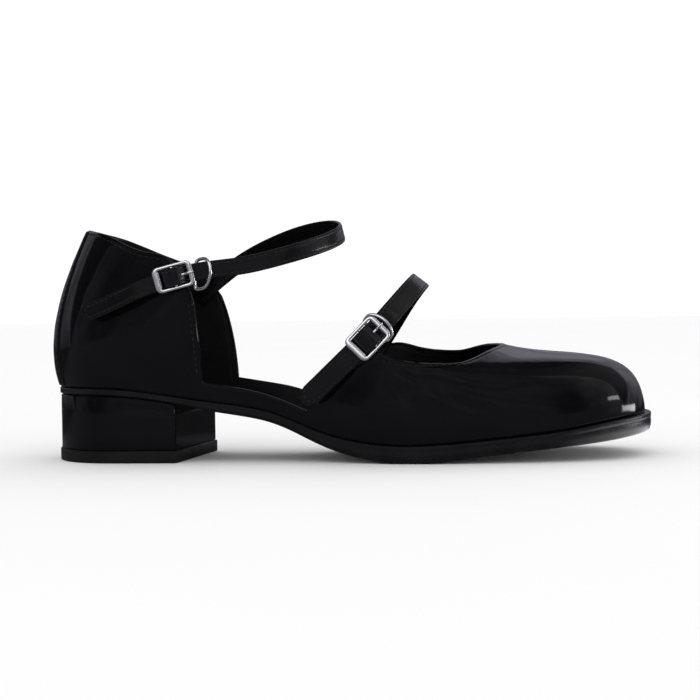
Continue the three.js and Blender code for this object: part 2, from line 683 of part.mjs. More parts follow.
function addStrap(name, strap) {
  const path = strapPath(strap);
  const at = strap.buckleAt;
  add(`${name}_strap`, strapGeometry(strap, path), STRAP_PATENT);
  add(`${name}_chape`, chapeGeometry(strap, path), STRAP_PATENT);
  addOnStrap(`${name}_buckle_frame`, buckleGeometry(strap.width), path, at);
  addOnStrap(`${name}_buckle_prong`, prongGeometry(), path, at);
  addOnStrap(`${name}_keeper_ring`, keeperGeometry(strap), path, at + strap.keeper.at);
}

const blockTop = (x) => soleUnder(x) - GAP;
const blockUnder = () => TOP_PIECE.height + GAP;
const topPieceTop = () => TOP_PIECE.height;
const floor = () => 0;
const sockUnder = (x) => soleTop(x) + GAP;
const sockTop = (x) => sockUnder(x) + INSOLE.thick;
const sockMargin = () => -INSOLE.inset;
add('outsole', slabGeometry(footPairs(weltMargin), soleTop, soleUnder), SOLE_RUBBER);
add('heel_block', slabGeometry(heelPairs(0), blockTop, blockUnder), PATENT);
add('heel_top_piece', slabGeometry(heelPairs(TOP_PIECE.proud), topPieceTop, floor), TOP_PIECE_RUBBER);
add('insole', slabGeometry(footPairs(sockMargin), sockTop, sockUnder), SOCK);
add('upper', upperGeometry(), PATENT);
addStrap('ankle', ANKLE_STRAP);
addStrap('instep', INSTEP_STRAP);

export default shoe;
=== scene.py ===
"""The looks of a women's right mary jane shoe in black patent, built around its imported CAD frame.

Tables are in millimetres in the shoe's own frame: X from the back of the heel to the toe, +Y to the
medial (inner) side, +Z up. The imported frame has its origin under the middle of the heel, so make_piece
shifts every piece by HEEL_REST_X and turns it into metres.
"""

import json
import math

import bmesh
import bpy
import numpy as np
from mathutils import Matrix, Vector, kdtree

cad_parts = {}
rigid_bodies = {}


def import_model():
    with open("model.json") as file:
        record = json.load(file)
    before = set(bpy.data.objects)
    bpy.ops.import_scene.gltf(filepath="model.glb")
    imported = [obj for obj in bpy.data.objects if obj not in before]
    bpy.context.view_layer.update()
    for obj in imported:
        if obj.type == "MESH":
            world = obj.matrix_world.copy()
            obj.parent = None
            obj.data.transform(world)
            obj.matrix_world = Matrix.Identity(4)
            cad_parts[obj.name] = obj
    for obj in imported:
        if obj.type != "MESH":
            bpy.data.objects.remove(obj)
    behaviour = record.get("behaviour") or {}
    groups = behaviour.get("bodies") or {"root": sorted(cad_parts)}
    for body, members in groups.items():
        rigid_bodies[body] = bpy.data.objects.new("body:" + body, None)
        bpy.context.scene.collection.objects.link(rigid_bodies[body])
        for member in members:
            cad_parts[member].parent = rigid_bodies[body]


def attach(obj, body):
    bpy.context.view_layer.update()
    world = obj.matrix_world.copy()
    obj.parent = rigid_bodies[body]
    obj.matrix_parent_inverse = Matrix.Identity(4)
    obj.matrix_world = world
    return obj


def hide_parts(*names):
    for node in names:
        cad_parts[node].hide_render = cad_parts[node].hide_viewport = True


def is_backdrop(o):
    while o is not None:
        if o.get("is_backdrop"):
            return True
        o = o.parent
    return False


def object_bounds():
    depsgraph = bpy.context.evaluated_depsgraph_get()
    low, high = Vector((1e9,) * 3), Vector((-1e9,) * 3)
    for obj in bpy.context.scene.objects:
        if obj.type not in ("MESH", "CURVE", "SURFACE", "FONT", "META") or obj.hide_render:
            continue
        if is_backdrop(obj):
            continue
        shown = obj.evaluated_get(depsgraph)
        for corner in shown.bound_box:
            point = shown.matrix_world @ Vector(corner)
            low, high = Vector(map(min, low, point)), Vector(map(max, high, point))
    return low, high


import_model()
cad_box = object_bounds()

# ---------------------------------------------------------------- driving sizes
MM = 0.001
HEEL_REST_X = 31.0
GAP = 0.3
WALL = 1.8
TOP_PIECE = {"height": 5.0, "proud": 0.6}
WELT = {"waist": 0.5, "toe": 2.5, "start_x": 105.0, "end_x": 245.0}
INSOLE = {"thick": 1.6, "inset": 2.2}
THROAT_RISE = {"height": 3.6, "start_x": 172.0, "end_x": 188.0, "sharpness": 9}
HEEL_BREAST = {"lateral_x": 56.5, "medial_x": 65.7}
FOREFOOT_FLAT = (146.0, 160.0)

# Side profile of the sole: height of its top face and its thickness along the shoe.
SOLE_PROFILE = [
    # x, top, thick
    (3, 30.9, 3.0),
    (24, 30.8, 3.0),
    (38, 29.8, 3.0),
    (56, 27.2, 3.1),
    (69, 25.2, 3.7),
    (84, 23.1, 4.1),
    (94, 21.0, 4.2),
    (104, 17.4, 4.4),
    (114, 13.3, 5.1),
    (124, 10.2, 5.9),
    (134, 8.3, 6.5),
    (146, 7.1, 7.1),
    (160, 7.2, 7.2),
    (174, 8.2, 6.6),
    (190, 9.7, 6.2),
    (218, 12.9, 6.7),
    (236, 15.9, 7.9),
    (255, 18.1, 7.6),
]

# Ribs of the upper from the sole's edge up to the topline, from the back of the heel along the
# lateral side to the toe and back along the medial side. low and high are the rib's two handles.
RIB_COLUMNS = ("foot_x", "foot_y", "top_x", "top_y", "top_z", "low_out", "low_up", "high_out",
               "high_down", "wall")
RIBS = [
    (3.0, 1.5, 15.6, 1.5, 98.1, 7.9, 22, 2.2, 19, 8.0),  # centre back
    (6.9, -12.6, 19.6, -8.0, 97.1, 7.8, 21, 2.6, 19, 8.0),  # lateral heel round
    (18.0, -23.0, 28.5, -18.0, 94.4, 7.8, 20, 3.4, 20, 8.0),  # lateral counter
    (38.0, -26.4, 44.0, -27.0, 87.5, 7.2, 18, 4.0, 20, 8.0),  # lateral quarter
    (56.0, -27.0, 58.5, -31.6, 81.2, 5.0, 17, 3.6, 18, 7.6),  # lateral quarter, under the buckle
    (68.8, -27.3, 65.4, -33.0, 69.2, 2.2, 15, 2.6, 15, 7.4),  # lateral quarter's front edge
    (90.0, -27.2, 101.0, -35.0, 58.0, 0.6, 12, 2.2, 12, 6.6),  # lateral waist
    (109.0, -28.5, 138.5, -36.2, 46.2, 2.0, 8, 1.2, 10, 5.5),  # lateral wing's rear edge
    (134.0, -34.5, 147.0, -36.4, 42.4, 3.4, 11, 2.2, 9, 6.0),  # behind the ball, lateral
    (160.0, -38.0, 160.5, -34.9, 40.6, 3.2, 12, 4.2, 4, 6.0),  # ball, lateral
    (190.0, -37.0, 174.0, -29.6, 40.4, 2.8, 15, 4.2, 2, 6.0),  # vamp, lateral
    (218.0, -32.6, 183.0, -19.6, 41.2, 2.2, 20, 4.4, 1, 6.0),  # toe box, lateral
    (239.0, -22.6, 188.5, -10.0, 42.4, 1.8, 26, 5.0, 1, 6.0),  # toe corner, lateral
    (249.3, -10.2, 191.2, -2.4, 43.4, 1.6, 27, 5.2, 1, 6.0),  # toe front, lateral
    (252.1, 4.8, 191.8, 4.6, 43.6, 1.6, 27, 5.2, 1, 6.0),  # toe
    (248.9, 20.2, 190.2, 11.4, 43.6, 1.6, 27, 5.2, 1, 6.0),  # toe front, medial
    (238.0, 32.0, 186.4, 20.4, 43.4, 1.8, 26, 5.0, 1, 6.0),  # toe corner, medial
    (216.0, 39.2, 180.0, 28.2, 43.4, 2.6, 20, 4.6, 1, 6.0),  # toe box, medial
    (188.0, 41.6, 171.5, 33.0, 43.8, 3.2, 15, 4.6, 2, 6.0),  # vamp, medial
    (160.0, 37.6, 160.0, 34.4, 45.0, 3.4, 12, 4.2, 4, 6.5),  # ball, medial
    (134.0, 27.8, 147.5, 34.2, 47.4, 3.6, 11, 2.6, 8, 8.0),  # behind the ball, medial
    (111.6, 20.6, 137.0, 33.0, 47.2, 3.0, 9, 5.0, 9, 8.6),  # medial wing's rear edge
    (93.0, 20.9, 103.0, 31.0, 60.0, 0.4, 12, 2.6, 12, 8.4),  # medial waist
    (77.2, 23.4, 67.4, 31.4, 72.4, 1.2, 15, 5.2, 15, 8.4),  # medial quarter's front edge
    (58.0, 27.0, 57.5, 32.2, 81.0, 5.0, 17, 4.0, 18, 8.4),  # medial quarter, rear of the edge
    (38.0, 28.0, 44.0, 28.0, 87.6, 8.4, 18, 4.4, 20, 8.0),  # medial quarter
    (18.0, 25.2, 28.5, 19.8, 94.4, 8.6, 20, 3.8, 20, 8.0),  # medial counter
    (6.9, 15.6, 19.6, 10.6, 97.1, 8.2, 21, 2.6, 19, 8.0),  # medial heel round
]
ROW = {"lateral_edge": 5, "lateral_wing": 7, "toe": 14, "medial_wing": 21, "medial_edge": 23}
# The upright edges of the side cut-outs, each with the way from it into the tall part of the upper.
CUT_EDGES = (("lateral_edge", -1), ("lateral_wing", 1), ("medial_wing", -1), ("medial_edge", 1))
HANDLE_ALONG = {"low": 0.05, "high": 0.55}

# Straps: the middle line from the loose tip, over the foot, to the end sewn inside the upper.
ANKLE_STRAP = {
    "width": 7.2,
    "thick": 1.4,
    "buckle_at": 42.3,
    "widthways": (0.0, 0.0, 1.0),
    "line": [
        # x, y, z, lean in degrees
        (20.0, -31.6, 61.3, 10),
        (33.0, -34.8, 66.3, 6),
        (46.0, -37.2, 72.0, 2),
        (59.2, -38.0, 76.3, 0),
        (71.0, -35.6, 78.7, 0),
        (86.0, -32.0, 80.6, 2),
        (102.0, -28.8, 84.3, 5),
        (116.4, -20.4, 89.0, 9),
        (124.8, -8.0, 94.0, 13),
        (121.6, 4.4, 97.0, 15),
        (109.4, 14.2, 96.3, 15),
        (93.4, 22.0, 91.5, 14),
        (77.8, 27.0, 83.8, 11),
        (66.2, 28.0, 75.2, 8),
        (57.6, 28.2, 68.0, 5),
    ],
    "keeper": {"at": 11.7, "clear": 2.4, "reach": 2.8, "back_out": -3.3, "bow_out": 3.2, "drop": 1.2,
               "swing": -12},
    "tip": {"upper": 0.9, "lower": -0.1, "reach": 3.6},
}
INSTEP_STRAP = {
    "width": 8.8,
    "thick": 1.4,
    "buckle_at": 36.6,
    "widthways": (-0.79, 0.0, 0.61),
    "line": [
        (110.5, -37.4, 25.2, 0),
        (123.5, -38.9, 37.6, 0),
        (136.8, -39.2, 50.6, 0),
        (145.2, -33.0, 59.6, 0),
        (150.8, -22.0, 66.2, 0),
        (156.0, -10.0, 72.2, 0),
        (157.8, 0.0, 74.2, 0),
        (156.2, 10.0, 72.4, 0),
        (151.4, 20.0, 66.0, 0),
        (145.0, 27.2, 56.0, 0),
        (138.2, 29.6, 45.6, 0),
        (132.8, 28.2, 38.2, 0),
    ],
    "keeper": {"at": 7.6, "clear": 1.9, "reach": 2.3, "back_out": -3.6, "bow_out": 1.1, "drop": 0.0,
               "swing": 0},
    "tip": {"upper": 0.55, "lower": -0.55, "reach": 4.6},
}
BUCKLE = {"length": 16.4, "side": 1.4, "end_bar": 2.0, "toe_bar_wide": 2.3, "heel_bar_wide": 2.9,
          "centre_bar": 1.2, "deep": 1.5, "clear": 0.3, "corner": 2.6}
LACING = {"over": 1.7, "under": -1.75, "calm": 11.0}
KEEPER = {"wire": 1.4, "squareness": 0.45, "depth_power": 1.5}
CHAPE = {"thick": 1.0, "narrower": 1.2, "behind": 13.0, "deep": 3.2, "risen": 1.5, "rise": (-6.0, -1.0),
         "steps": 28}
PRONG = {
    # distance ahead of the centre bar, height out of the strap
    "line": [(0.3, 0.5), (2.0, 0.45), (3.6, 0.3), (4.8, 0.45), (5.8, 0.95), (6.8, 1.25), (7.7, 1.25),
             (8.4, 1.1)],
    # point of that line, counted from 0, and the prong's radius there
    "radii": [(0, 0.25), (0.4, 0.6), (5, 0.52), (6.6, 0.42), (7, 0.2)],
    "steps": 30,
}

# ---------------------------------------------------------------- curves and surfaces
def smooth_curve(knots, values, period=0.0):
    """A cubic spline with continuous curvature through values at knots. With a period it closes."""
    x = np.array(knots, float)
    y = np.array(values, float)
    count = len(x)
    closed = period > 0
    gap = np.diff(np.append(x, x[0] + period)) if closed else np.diff(x)
    slope = (np.roll(y, -1) - y) / gap if closed else np.diff(y) / gap
    matrix = np.zeros((count, count))
    turn = np.zeros(count)
    for i in range(count):
        if not closed and i in (0, count - 1):
            matrix[i, i] = 1
            continue
        matrix[i, i - 1] += gap[i - 1]
        matrix[i, i] += 2 * (gap[i - 1] + gap[i])
        matrix[i, (i + 1) % count] += gap[i]
        turn[i] = 6 * (slope[i] - slope[i - 1])
    bend = np.linalg.solve(matrix, turn)

    def curve(place):
        p = np.asarray(place, float)
        if closed:
            p = x[0] + np.mod(p - x[0], period)
        i = np.clip(np.searchsorted(x, p, side="right") - 1, 0, count - (1 if closed else 2))
        j = (i + 1) % count
        b = (p - x[i]) / gap[i]
        a = 1 - b
        cubic = ((a ** 3 - a) * bend[i] + (b ** 3 - b) * bend[j]) * gap[i] ** 2 / 6
        return a * y[i] + b * y[j] + cubic

    return curve


def smoothstep(start, end, value):
    f = np.clip((np.asarray(value, float) - start) / (end - start), 0, 1)
    return f * f * (3 - 2 * f)


def unit(vectors):
    return vectors / np.maximum(np.linalg.norm(vectors, axis=-1, keepdims=True), 1e-9)


profile = np.array(SOLE_PROFILE, float)
sole_top = smooth_curve(profile[:, 0], profile[:, 1])
sole_thick = smooth_curve(profile[:, 0], profile[:, 2])


def sole_under(x):
    x = np.asarray(x, float)
    height = np.maximum(0, sole_top(x) - sole_thick(x))
    return np.where((x >= FOREFOOT_FLAT[0]) & (x <= FOREFOOT_FLAT[1]), 0, height)


rib_table = np.array(RIBS, float)
foot_chord = np.linalg.norm(np.roll(rib_table[:, 0:2], -1, axis=0) - rib_table[:, 0:2], axis=1)
top_chord = np.linalg.norm(np.roll(rib_table[:, 2:4], -1, axis=0) - rib_table[:, 2:4], axis=1)
rib_ends = np.cumsum((foot_chord + top_chord) / 2)
GIRTH = rib_ends[-1]
RIB_KNOTS = np.concatenate([[0], rib_ends[:-1]])
rib_curve = {name: smooth_curve(RIB_KNOTS, rib_table[:, k], GIRTH) for k, name in enumerate(RIB_COLUMNS)}


def outwards(place):
    """The direction that faces straight out from the outline of the foot, on the ground plane."""
    step = 0.5
    dx = rib_curve["foot_x"](place + step) - rib_curve["foot_x"](place - step)
    dy = rib_curve["foot_y"](place + step) - rib_curve["foot_y"](place - step)
    return unit(np.stack([dy, -dx, np.zeros_like(dx)], -1))


def outline(place, margin):
    """The outline of the foot moved outwards by a margin."""
    foot = np.stack([rib_curve["foot_x"](place), rib_curve["foot_y"](place), np.zeros_like(place)], -1)
    return foot + outwards(place) * np.asarray(margin, float)[..., None]


def surface(place, t):
    """Points on the outer face of the upper: place round the shoe, t from the sole to the topline."""
    value = {name: curve(place) for name, curve in rib_curve.items()}
    foot = np.stack([value["foot_x"], value["foot_y"], sole_top(value["foot_x"]) + GAP], -1)
    top = np.stack([value["top_x"], value["top_y"], value["top_z"]], -1)
    along = (top - foot) * (1, 1, 0)
    out = outwards(place)
    upright = np.array([0, 0, 1.0])
    low = foot + along * HANDLE_ALONG["low"] + out * value["low_out"][..., None]
    low = low + upright * value["low_up"][..., None]
    high = top - along * HANDLE_ALONG["high"] + out * value["high_out"][..., None]
    high = high - upright * value["high_down"][..., None]
    s = t[..., None]
    point = (1 - s) ** 3 * foot + 3 * (1 - s) ** 2 * s * low + 3 * (1 - s) * s ** 2 * high + s ** 3 * top
    rise = smoothstep(THROAT_RISE["start_x"], THROAT_RISE["end_x"], top[..., 0]) * THROAT_RISE["height"]
    return point + upright * (rise * np.clip(t, 0, None) ** THROAT_RISE["sharpness"])[..., None]


def surface_normal(place, t):
    step_round, step_up = 0.2, 0.01
    round_ = surface(place + step_round, t) - surface(place - step_round, t)
    up = surface(place, t + step_up) - surface(place, t - step_up)
    return unit(np.cross(round_, up))


# ---------------------------------------------------------------- mesh helpers
def make_piece(name, points, faces, materials, replaces=(), face_slots=None):
    """A piece from points in the shoe's millimetres. It rides on the one body."""
    mesh = bpy.data.meshes.new(name)
    places = (np.asarray(points, float).reshape(-1, 3) - (HEEL_REST_X, 0, 0)) * MM
    mesh.from_pydata(places.tolist(), [], [tuple(int(i) for i in f) for f in faces])
    mesh.update()
    for material in materials:
        mesh.materials.append(material)
    if face_slots is not None:
        mesh.polygons.foreach_set("material_index", np.asarray(face_slots, np.int32))
    work = bmesh.new()
    work.from_mesh(mesh)
    bmesh.ops.recalc_face_normals(work, faces=work.faces)
    work.to_mesh(mesh)
    work.free()
    mesh.polygons.foreach_set("use_smooth", np.ones(len(mesh.polygons), bool))
    piece = bpy.data.objects.new(name, mesh)
    bpy.context.scene.collection.objects.link(piece)
    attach(piece, "root")
    if replaces:
        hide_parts(*replaces)
    return piece


class Parts:
    """Collects points and faces of several small closed forms into one mesh."""

    def __init__(self):
        self.points = []
        self.faces = []
        self.count = 0

    def add(self, points, faces):
        points = np.asarray(points, float).reshape(-1, 3)
        self.points.append(points)
        self.faces.extend([tuple(i + self.count for i in face) for face in faces])
        self.count += len(points)

    def piece(self, name, materials, slot, replaces=()):
        return make_piece(name, np.concatenate(self.points), self.faces, materials, replaces)


def ring_faces(rings, sides, closed):
    """Faces of a sweep whose points run ring by ring. An open sweep gets flat ends."""
    faces = []
    for i in range(rings if closed else rings - 1):
        a, b = i * sides, ((i + 1) % rings) * sides
        for k in range(sides):
            l = (k + 1) % sides
            faces.append((a + k, b + k, b + l, a + l))
    if not closed:
        faces.append(tuple(range(sides)))
        faces.append(tuple(range((rings - 1) * sides, rings * sides))[::-1])
    return faces


def tube(path, radii, sides=12, closed=False):
    """Points and faces of a round wire along a path, with a radius at every point."""
    path = np.asarray(path, float)
    radii = np.broadcast_to(np.asarray(radii, float), len(path))
    if closed:
        ahead = unit(np.roll(path, -1, axis=0) - np.roll(path, 1, axis=0))
    else:
        ahead = unit(np.gradient(path, axis=0))
    side = np.zeros_like(path)
    start = np.array([0, 0, 1.0]) if abs(ahead[0][2]) < 0.9 else np.array([1.0, 0, 0])
    side[0] = unit(start - ahead[0] * (start @ ahead[0]))
    for i in range(1, len(path)):
        side[i] = unit(side[i - 1] - ahead[i] * (side[i - 1] @ ahead[i]))
    over = np.cross(ahead, side)
    angle = np.arange(sides) * 2 * math.pi / sides
    wheel = side[:, None] * np.cos(angle)[None, :, None] + over[:, None] * np.sin(angle)[None, :, None]
    points = path[:, None] + wheel * radii[:, None, None]
    return points.reshape(-1, 3), ring_faces(len(path), sides, closed)


# ---------------------------------------------------------------- materials
def add_node(tree, kind, inputs=None, **settings):
    """A new node in a tree. Each input is a socket to link from or a value to set."""
    made = tree.nodes.new(kind)
    for key, value in settings.items():
        setattr(made, key, value)
    for key, value in (inputs or {}).items():
        if isinstance(value, bpy.types.NodeSocket):
            tree.links.new(value, made.inputs[key])
        else:
            made.inputs[key].default_value = value
    return made


class Nodes:
    """A short way to write a material's nodes."""

    def __init__(self, name):
        self.material = bpy.data.materials.new(name)
        self.material.use_nodes = True
        self.tree = self.material.node_tree
        self.shader = self.tree.nodes["Principled BSDF"]
        self.place = self.node("ShaderNodeTexCoord").outputs["Object"]

    def node(self, kind, inputs=None, **settings):
        return add_node(self.tree, kind, inputs, **settings)

    def noise(self, scale, detail=3.0, roughness=0.5, stretch=(1, 1, 1)):
        place = self.place
        if stretch != (1, 1, 1):
            place = self.node("ShaderNodeMapping", {"Vector": place, "Scale": stretch}).outputs["Vector"]
        inputs = {"Vector": place, "Scale": scale, "Detail": detail, "Roughness": roughness}
        return self.node("ShaderNodeTexNoise", inputs).outputs["Fac"]

    def spread(self, value, low, high, start=0.3, end=0.7):
        """value taken from its range start..end to low..high"""
        inputs = {"Value": value, "From Min": start, "From Max": end, "To Min": low, "To Max": high}
        return self.node("ShaderNodeMapRange", inputs).outputs["Result"]

    def colours(self, value, dark, light, start=0.3, end=0.7):
        ramp = self.node("ShaderNodeValToRGB", {"Fac": value})
        for element, place, colour in zip(ramp.color_ramp.elements, (start, end), (dark, light)):
            element.position = place
            element.color = (*colour, 1)
        return ramp.outputs["Color"]

    def add(self, first, second, weight=1.0):
        inputs = {0: second, 1: weight, 2: first}
        return self.node("ShaderNodeMath", inputs, operation="MULTIPLY_ADD").outputs[0]

    def finish(self, colour, roughness, height, bump_mm, **sockets):
        link = self.tree.links.new
        link(colour, self.shader.inputs["Base Color"])
        link(roughness, self.shader.inputs["Roughness"])
        bump = self.node("ShaderNodeBump", {"Height": height, "Strength": 1.0, "Distance": bump_mm * MM})
        link(bump.outputs["Normal"], self.shader.inputs["Normal"])
        for name, value in sockets.items():
            self.shader.inputs[name.replace("_", " ").title().replace("Ior", "IOR")].default_value = value
        return self.material


FINE_GRAIN_MM = 0.004


def patent_material(name, ripple_mm, crinkle_mm, rough_low=0.05, rough_high=0.12, gloss=0.26):
    """Black patent: a glossy film with slow ripples, a crinkle and a fine grain."""
    nodes = Nodes(name)
    ripple = nodes.noise(85.0, detail=1.0)
    crinkle = nodes.noise(620.0, detail=3.0)
    grain = nodes.noise(2600.0, detail=2.0)
    height = nodes.add(ripple, crinkle, crinkle_mm / ripple_mm)
    height = nodes.add(height, grain, FINE_GRAIN_MM / ripple_mm)
    colour = nodes.colours(nodes.noise(40.0), (0.0018, 0.0017, 0.0021), (0.0032, 0.0030, 0.0036))
    dust = nodes.noise(900.0, detail=4.0, roughness=0.7)
    dusty = nodes.add(nodes.noise(30.0, detail=2.0), dust, 0.6)
    roughness = nodes.spread(dusty, rough_low, rough_high, 0.5, 1.1)
    return nodes.finish(colour, roughness, height, ripple_mm, specular_ior_level=gloss)


def matt_leather_material(name, dark, light):
    nodes = Nodes(name)
    grain = nodes.node("ShaderNodeTexVoronoi", {"Vector": nodes.place, "Scale": 1500.0}).outputs["Distance"]
    height = nodes.add(grain, nodes.noise(160.0, detail=4.0), 1.4)
    colour = nodes.colours(nodes.noise(60.0, detail=5.0), dark, light)
    roughness = nodes.spread(nodes.noise(220.0, detail=4.0), 0.48, 0.66)
    return nodes.finish(colour, roughness, height, 0.06, specular_ior_level=0.3)


def rubber_material(name, dark, light, rough_low, rough_high, bump_mm):
    nodes = Nodes(name)
    brushed = nodes.noise(420.0, detail=4.0, stretch=(0.25, 0.25, 3.0))
    height = nodes.add(brushed, nodes.noise(1900.0, detail=2.0), 0.7)
    colour = nodes.colours(nodes.noise(75.0, detail=4.0), dark, light)
    roughness = nodes.spread(nodes.noise(150.0, detail=5.0), rough_low, rough_high)
    return nodes.finish(colour, roughness, height, bump_mm, specular_ior_level=0.34)


def nickel_material():
    nodes = Nodes("polished_nickel")
    colour = nodes.colours(nodes.noise(500.0), (0.78, 0.78, 0.79), (0.92, 0.92, 0.93))
    roughness = nodes.spread(nodes.noise(700.0, detail=4.0), 0.16, 0.32)
    height = nodes.noise(1400.0, detail=3.0, stretch=(1, 1, 4))
    return nodes.finish(colour, roughness, height, 0.012, metallic=1.0)


def thread_material():
    nodes = Nodes("black_thread")
    twist = nodes.node("ShaderNodeTexWave", {"Vector": nodes.place, "Scale": 900.0, "Distortion": 2.0})
    colour = nodes.colours(nodes.noise(600.0), (0.006, 0.006, 0.0065), (0.016, 0.0155, 0.017))
    roughness = nodes.spread(nodes.noise(800.0), 0.38, 0.55)
    return nodes.finish(colour, roughness, twist.outputs["Fac"], 0.05)


PATENT = patent_material("black_patent", 0.035, 0.006)
STRAP_PATENT = patent_material("black_strap_patent", 0.10, 0.08, rough_low=0.12, rough_high=0.26, gloss=0.42)
HEEL_PATENT = patent_material("black_heel_cover", 0.02, 0.004)
LINING = matt_leather_material("black_lining", (0.0030, 0.0028, 0.0034), (0.0058, 0.0054, 0.0066))
SOCK = matt_leather_material("black_sock", (0.0045, 0.0042, 0.0050), (0.0085, 0.0080, 0.0096))
SOLE_RUBBER = rubber_material("black_sole", (0.0035, 0.0034, 0.0048), (0.0065, 0.0062, 0.0088),
                              rough_low=0.20, rough_high=0.32, bump_mm=0.03)
TOP_PIECE_RUBBER = rubber_material("black_top_piece", (0.0045, 0.0045, 0.0050), (0.0080, 0.0078, 0.0086),
                                   rough_low=0.42, rough_high=0.6, bump_mm=0.05)
NICKEL = nickel_material()
THREAD = thread_material()

# ---------------------------------------------------------------- the upper
# Soft troughs and ridges, each along a line of points (x, z) on one side of the shoe.
CREASES = [
    # side, points, half width, depth (a ridge where negative)
    ("lateral", [(150, 27), (158, 21), (168, 18)], 3.2, 0.24),
    ("lateral", [(163, 33), (167, 27), (176, 23), (188, 22)], 2.6, 0.22),
    ("lateral", [(156, 34), (160, 27), (166, 23)], 2.4, -0.15),
    ("lateral", [(172, 30), (182, 27), (194, 26)], 3.0, -0.14),
    ("lateral", [(146, 34), (151, 29), (153, 23)], 2.4, 0.20),
    ("lateral", [(140, 30), (146, 24), (150, 18)], 3.0, -0.13),
    ("lateral", [(196, 31), (208, 29), (221, 29)], 3.0, 0.15),
    ("lateral", [(212, 23), (222, 26), (232, 30)], 2.6, 0.20),
    ("lateral", [(220, 21), (228, 23), (236, 24)], 3.0, -0.12),
    ("lateral", [(183, 40), (196, 35), (210, 33.5)], 3.2, -0.16),
    ("lateral", [(170, 36), (184, 33), (200, 30.5)], 2.8, 0.15),
    ("medial", [(148, 33), (156, 27), (166, 24)], 3.2, 0.24),
    ("medial", [(166, 34), (172, 28), (184, 26)], 2.8, 0.21),
    ("medial", [(157, 36), (162, 30), (170, 27)], 2.4, -0.15),
    ("medial", [(186, 33), (198, 31), (210, 31)], 3.2, 0.15),
    ("lateral", [(28, 48), (40, 43), (54, 41)], 6.0, 0.21),
    ("medial", [(30, 50), (44, 45), (58, 43)], 6.0, 0.21),
    ("lateral", [(20, 76), (30, 73), (42, 70)], 4.0, -0.14),
]
UNEVEN = {"slow": 0.045, "quick": 0.02}
# The grid's levels: shares of the low wall's height, even steps, then distances from the border.
WALL_SHARES = (0.0, 0.16, 0.32, 0.46, 0.6, 0.72, 0.8, 1.0)
MID_STEPS = 24
EDGE_STEPS = (0.0, 1.25, 1.6, 1.9, 2.2, 2.5, 2.9, 3.5, 4.4)
RIB_SAMPLES = 161
RIM_STEPS = 5
CORNER = {"radius": 3.4, "reach": 14.0}
# Where the even steps would span less than this, the last levels are drawn together.
LEAST_HEIGHT = 4.0
# Up to this height over the sole, the upper's thickness turns from level to square on its face.
UPRIGHT_FOOT = 3.0
GROOVE = {"from_edge": 2.2, "half_width": 0.45, "depth": 0.14}
SWELL = {"from_edge": 1.3, "half_width": 0.8, "height": 0.1, "reach": 5.0}


def segment_places(start, end, fine_start, fine_end, coarse=1.0, fine=0.45, first=1.25, fine_reach=5.0):
    """Places from start up to, not including, end. They are finer next to an edge of a cut-out."""
    head = [0.0]
    if fine_start:
        head.append(first)
        while head[-1] < fine_reach:
            head.append(head[-1] + fine)
    tail = []
    if fine_end:
        count = int((fine_reach - first) / fine) + 1
        tail = [(end - start) - (first + fine * k) for k in range(count)][::-1]
    last = tail[0] if tail else end - start
    gap = last - head[-1]
    steps = max(1, round(gap / coarse))
    middle = [head[-1] + gap * k / steps for k in range(1, steps + (1 if tail else 0))]
    return [start + s for s in head + middle + tail[1:]]


def border_drop(places, knot, inside, radius, inset):
    """How far the topline is lowered near a cut-out's edge at a knot, so that its corner is round."""
    metric = np.linalg.norm(surface(np.array([knot + inside]), np.array([1.0]))
                            - surface(np.array([knot]), np.array([1.0])))
    away = np.clip((places - knot) * inside * metric - inset, 0, radius)
    return radius - np.sqrt(np.maximum(0, radius ** 2 - (radius - away) ** 2))


def crease_field(points):
    """Height of the listed creases and of a slow unevenness at each point, in millimetres."""
    height = np.zeros(len(points))
    for side, line, half_width, depth in CREASES:
        line = np.array(line, float)
        near = np.full(len(points), 1e9)
        along = np.zeros(len(points))
        lengths = np.linalg.norm(np.diff(line, axis=0), axis=1)
        total, done = lengths.sum(), 0.0
        for a, b, length in zip(line[:-1], line[1:], lengths):
            flat = points[:, (0, 2)] - a
            share = np.clip(flat @ (b - a) / length ** 2, 0, 1)
            away = np.linalg.norm(flat - share[:, None] * (b - a), axis=1)
            along = np.where(away < near, (done + share * length) / total, along)
            near = np.minimum(near, away)
            done += length
        lateral = points[:, 1] < 0
        taper = 0.25 + 0.75 * np.sin(math.pi * np.clip(along, 0, 1))
        chosen = lateral if side == "lateral" else ~lateral
        height -= np.where(chosen, depth * taper * np.exp(-(near / half_width) ** 2), 0)
    x, y, z = points.T
    slow = np.sin(x * 0.31 + 1.3 * np.sin(z * 0.23)) * np.sin(z * 0.37 + y * 0.19 + 0.8)
    quick = np.sin(x * 0.83 + 2.1) * np.sin(z * 0.71 + 1.9 * np.sin(y * 0.3)) * np.sin(y * 0.53 + x * 0.11)
    return height + UNEVEN["slow"] * slow + UNEVEN["quick"] * quick


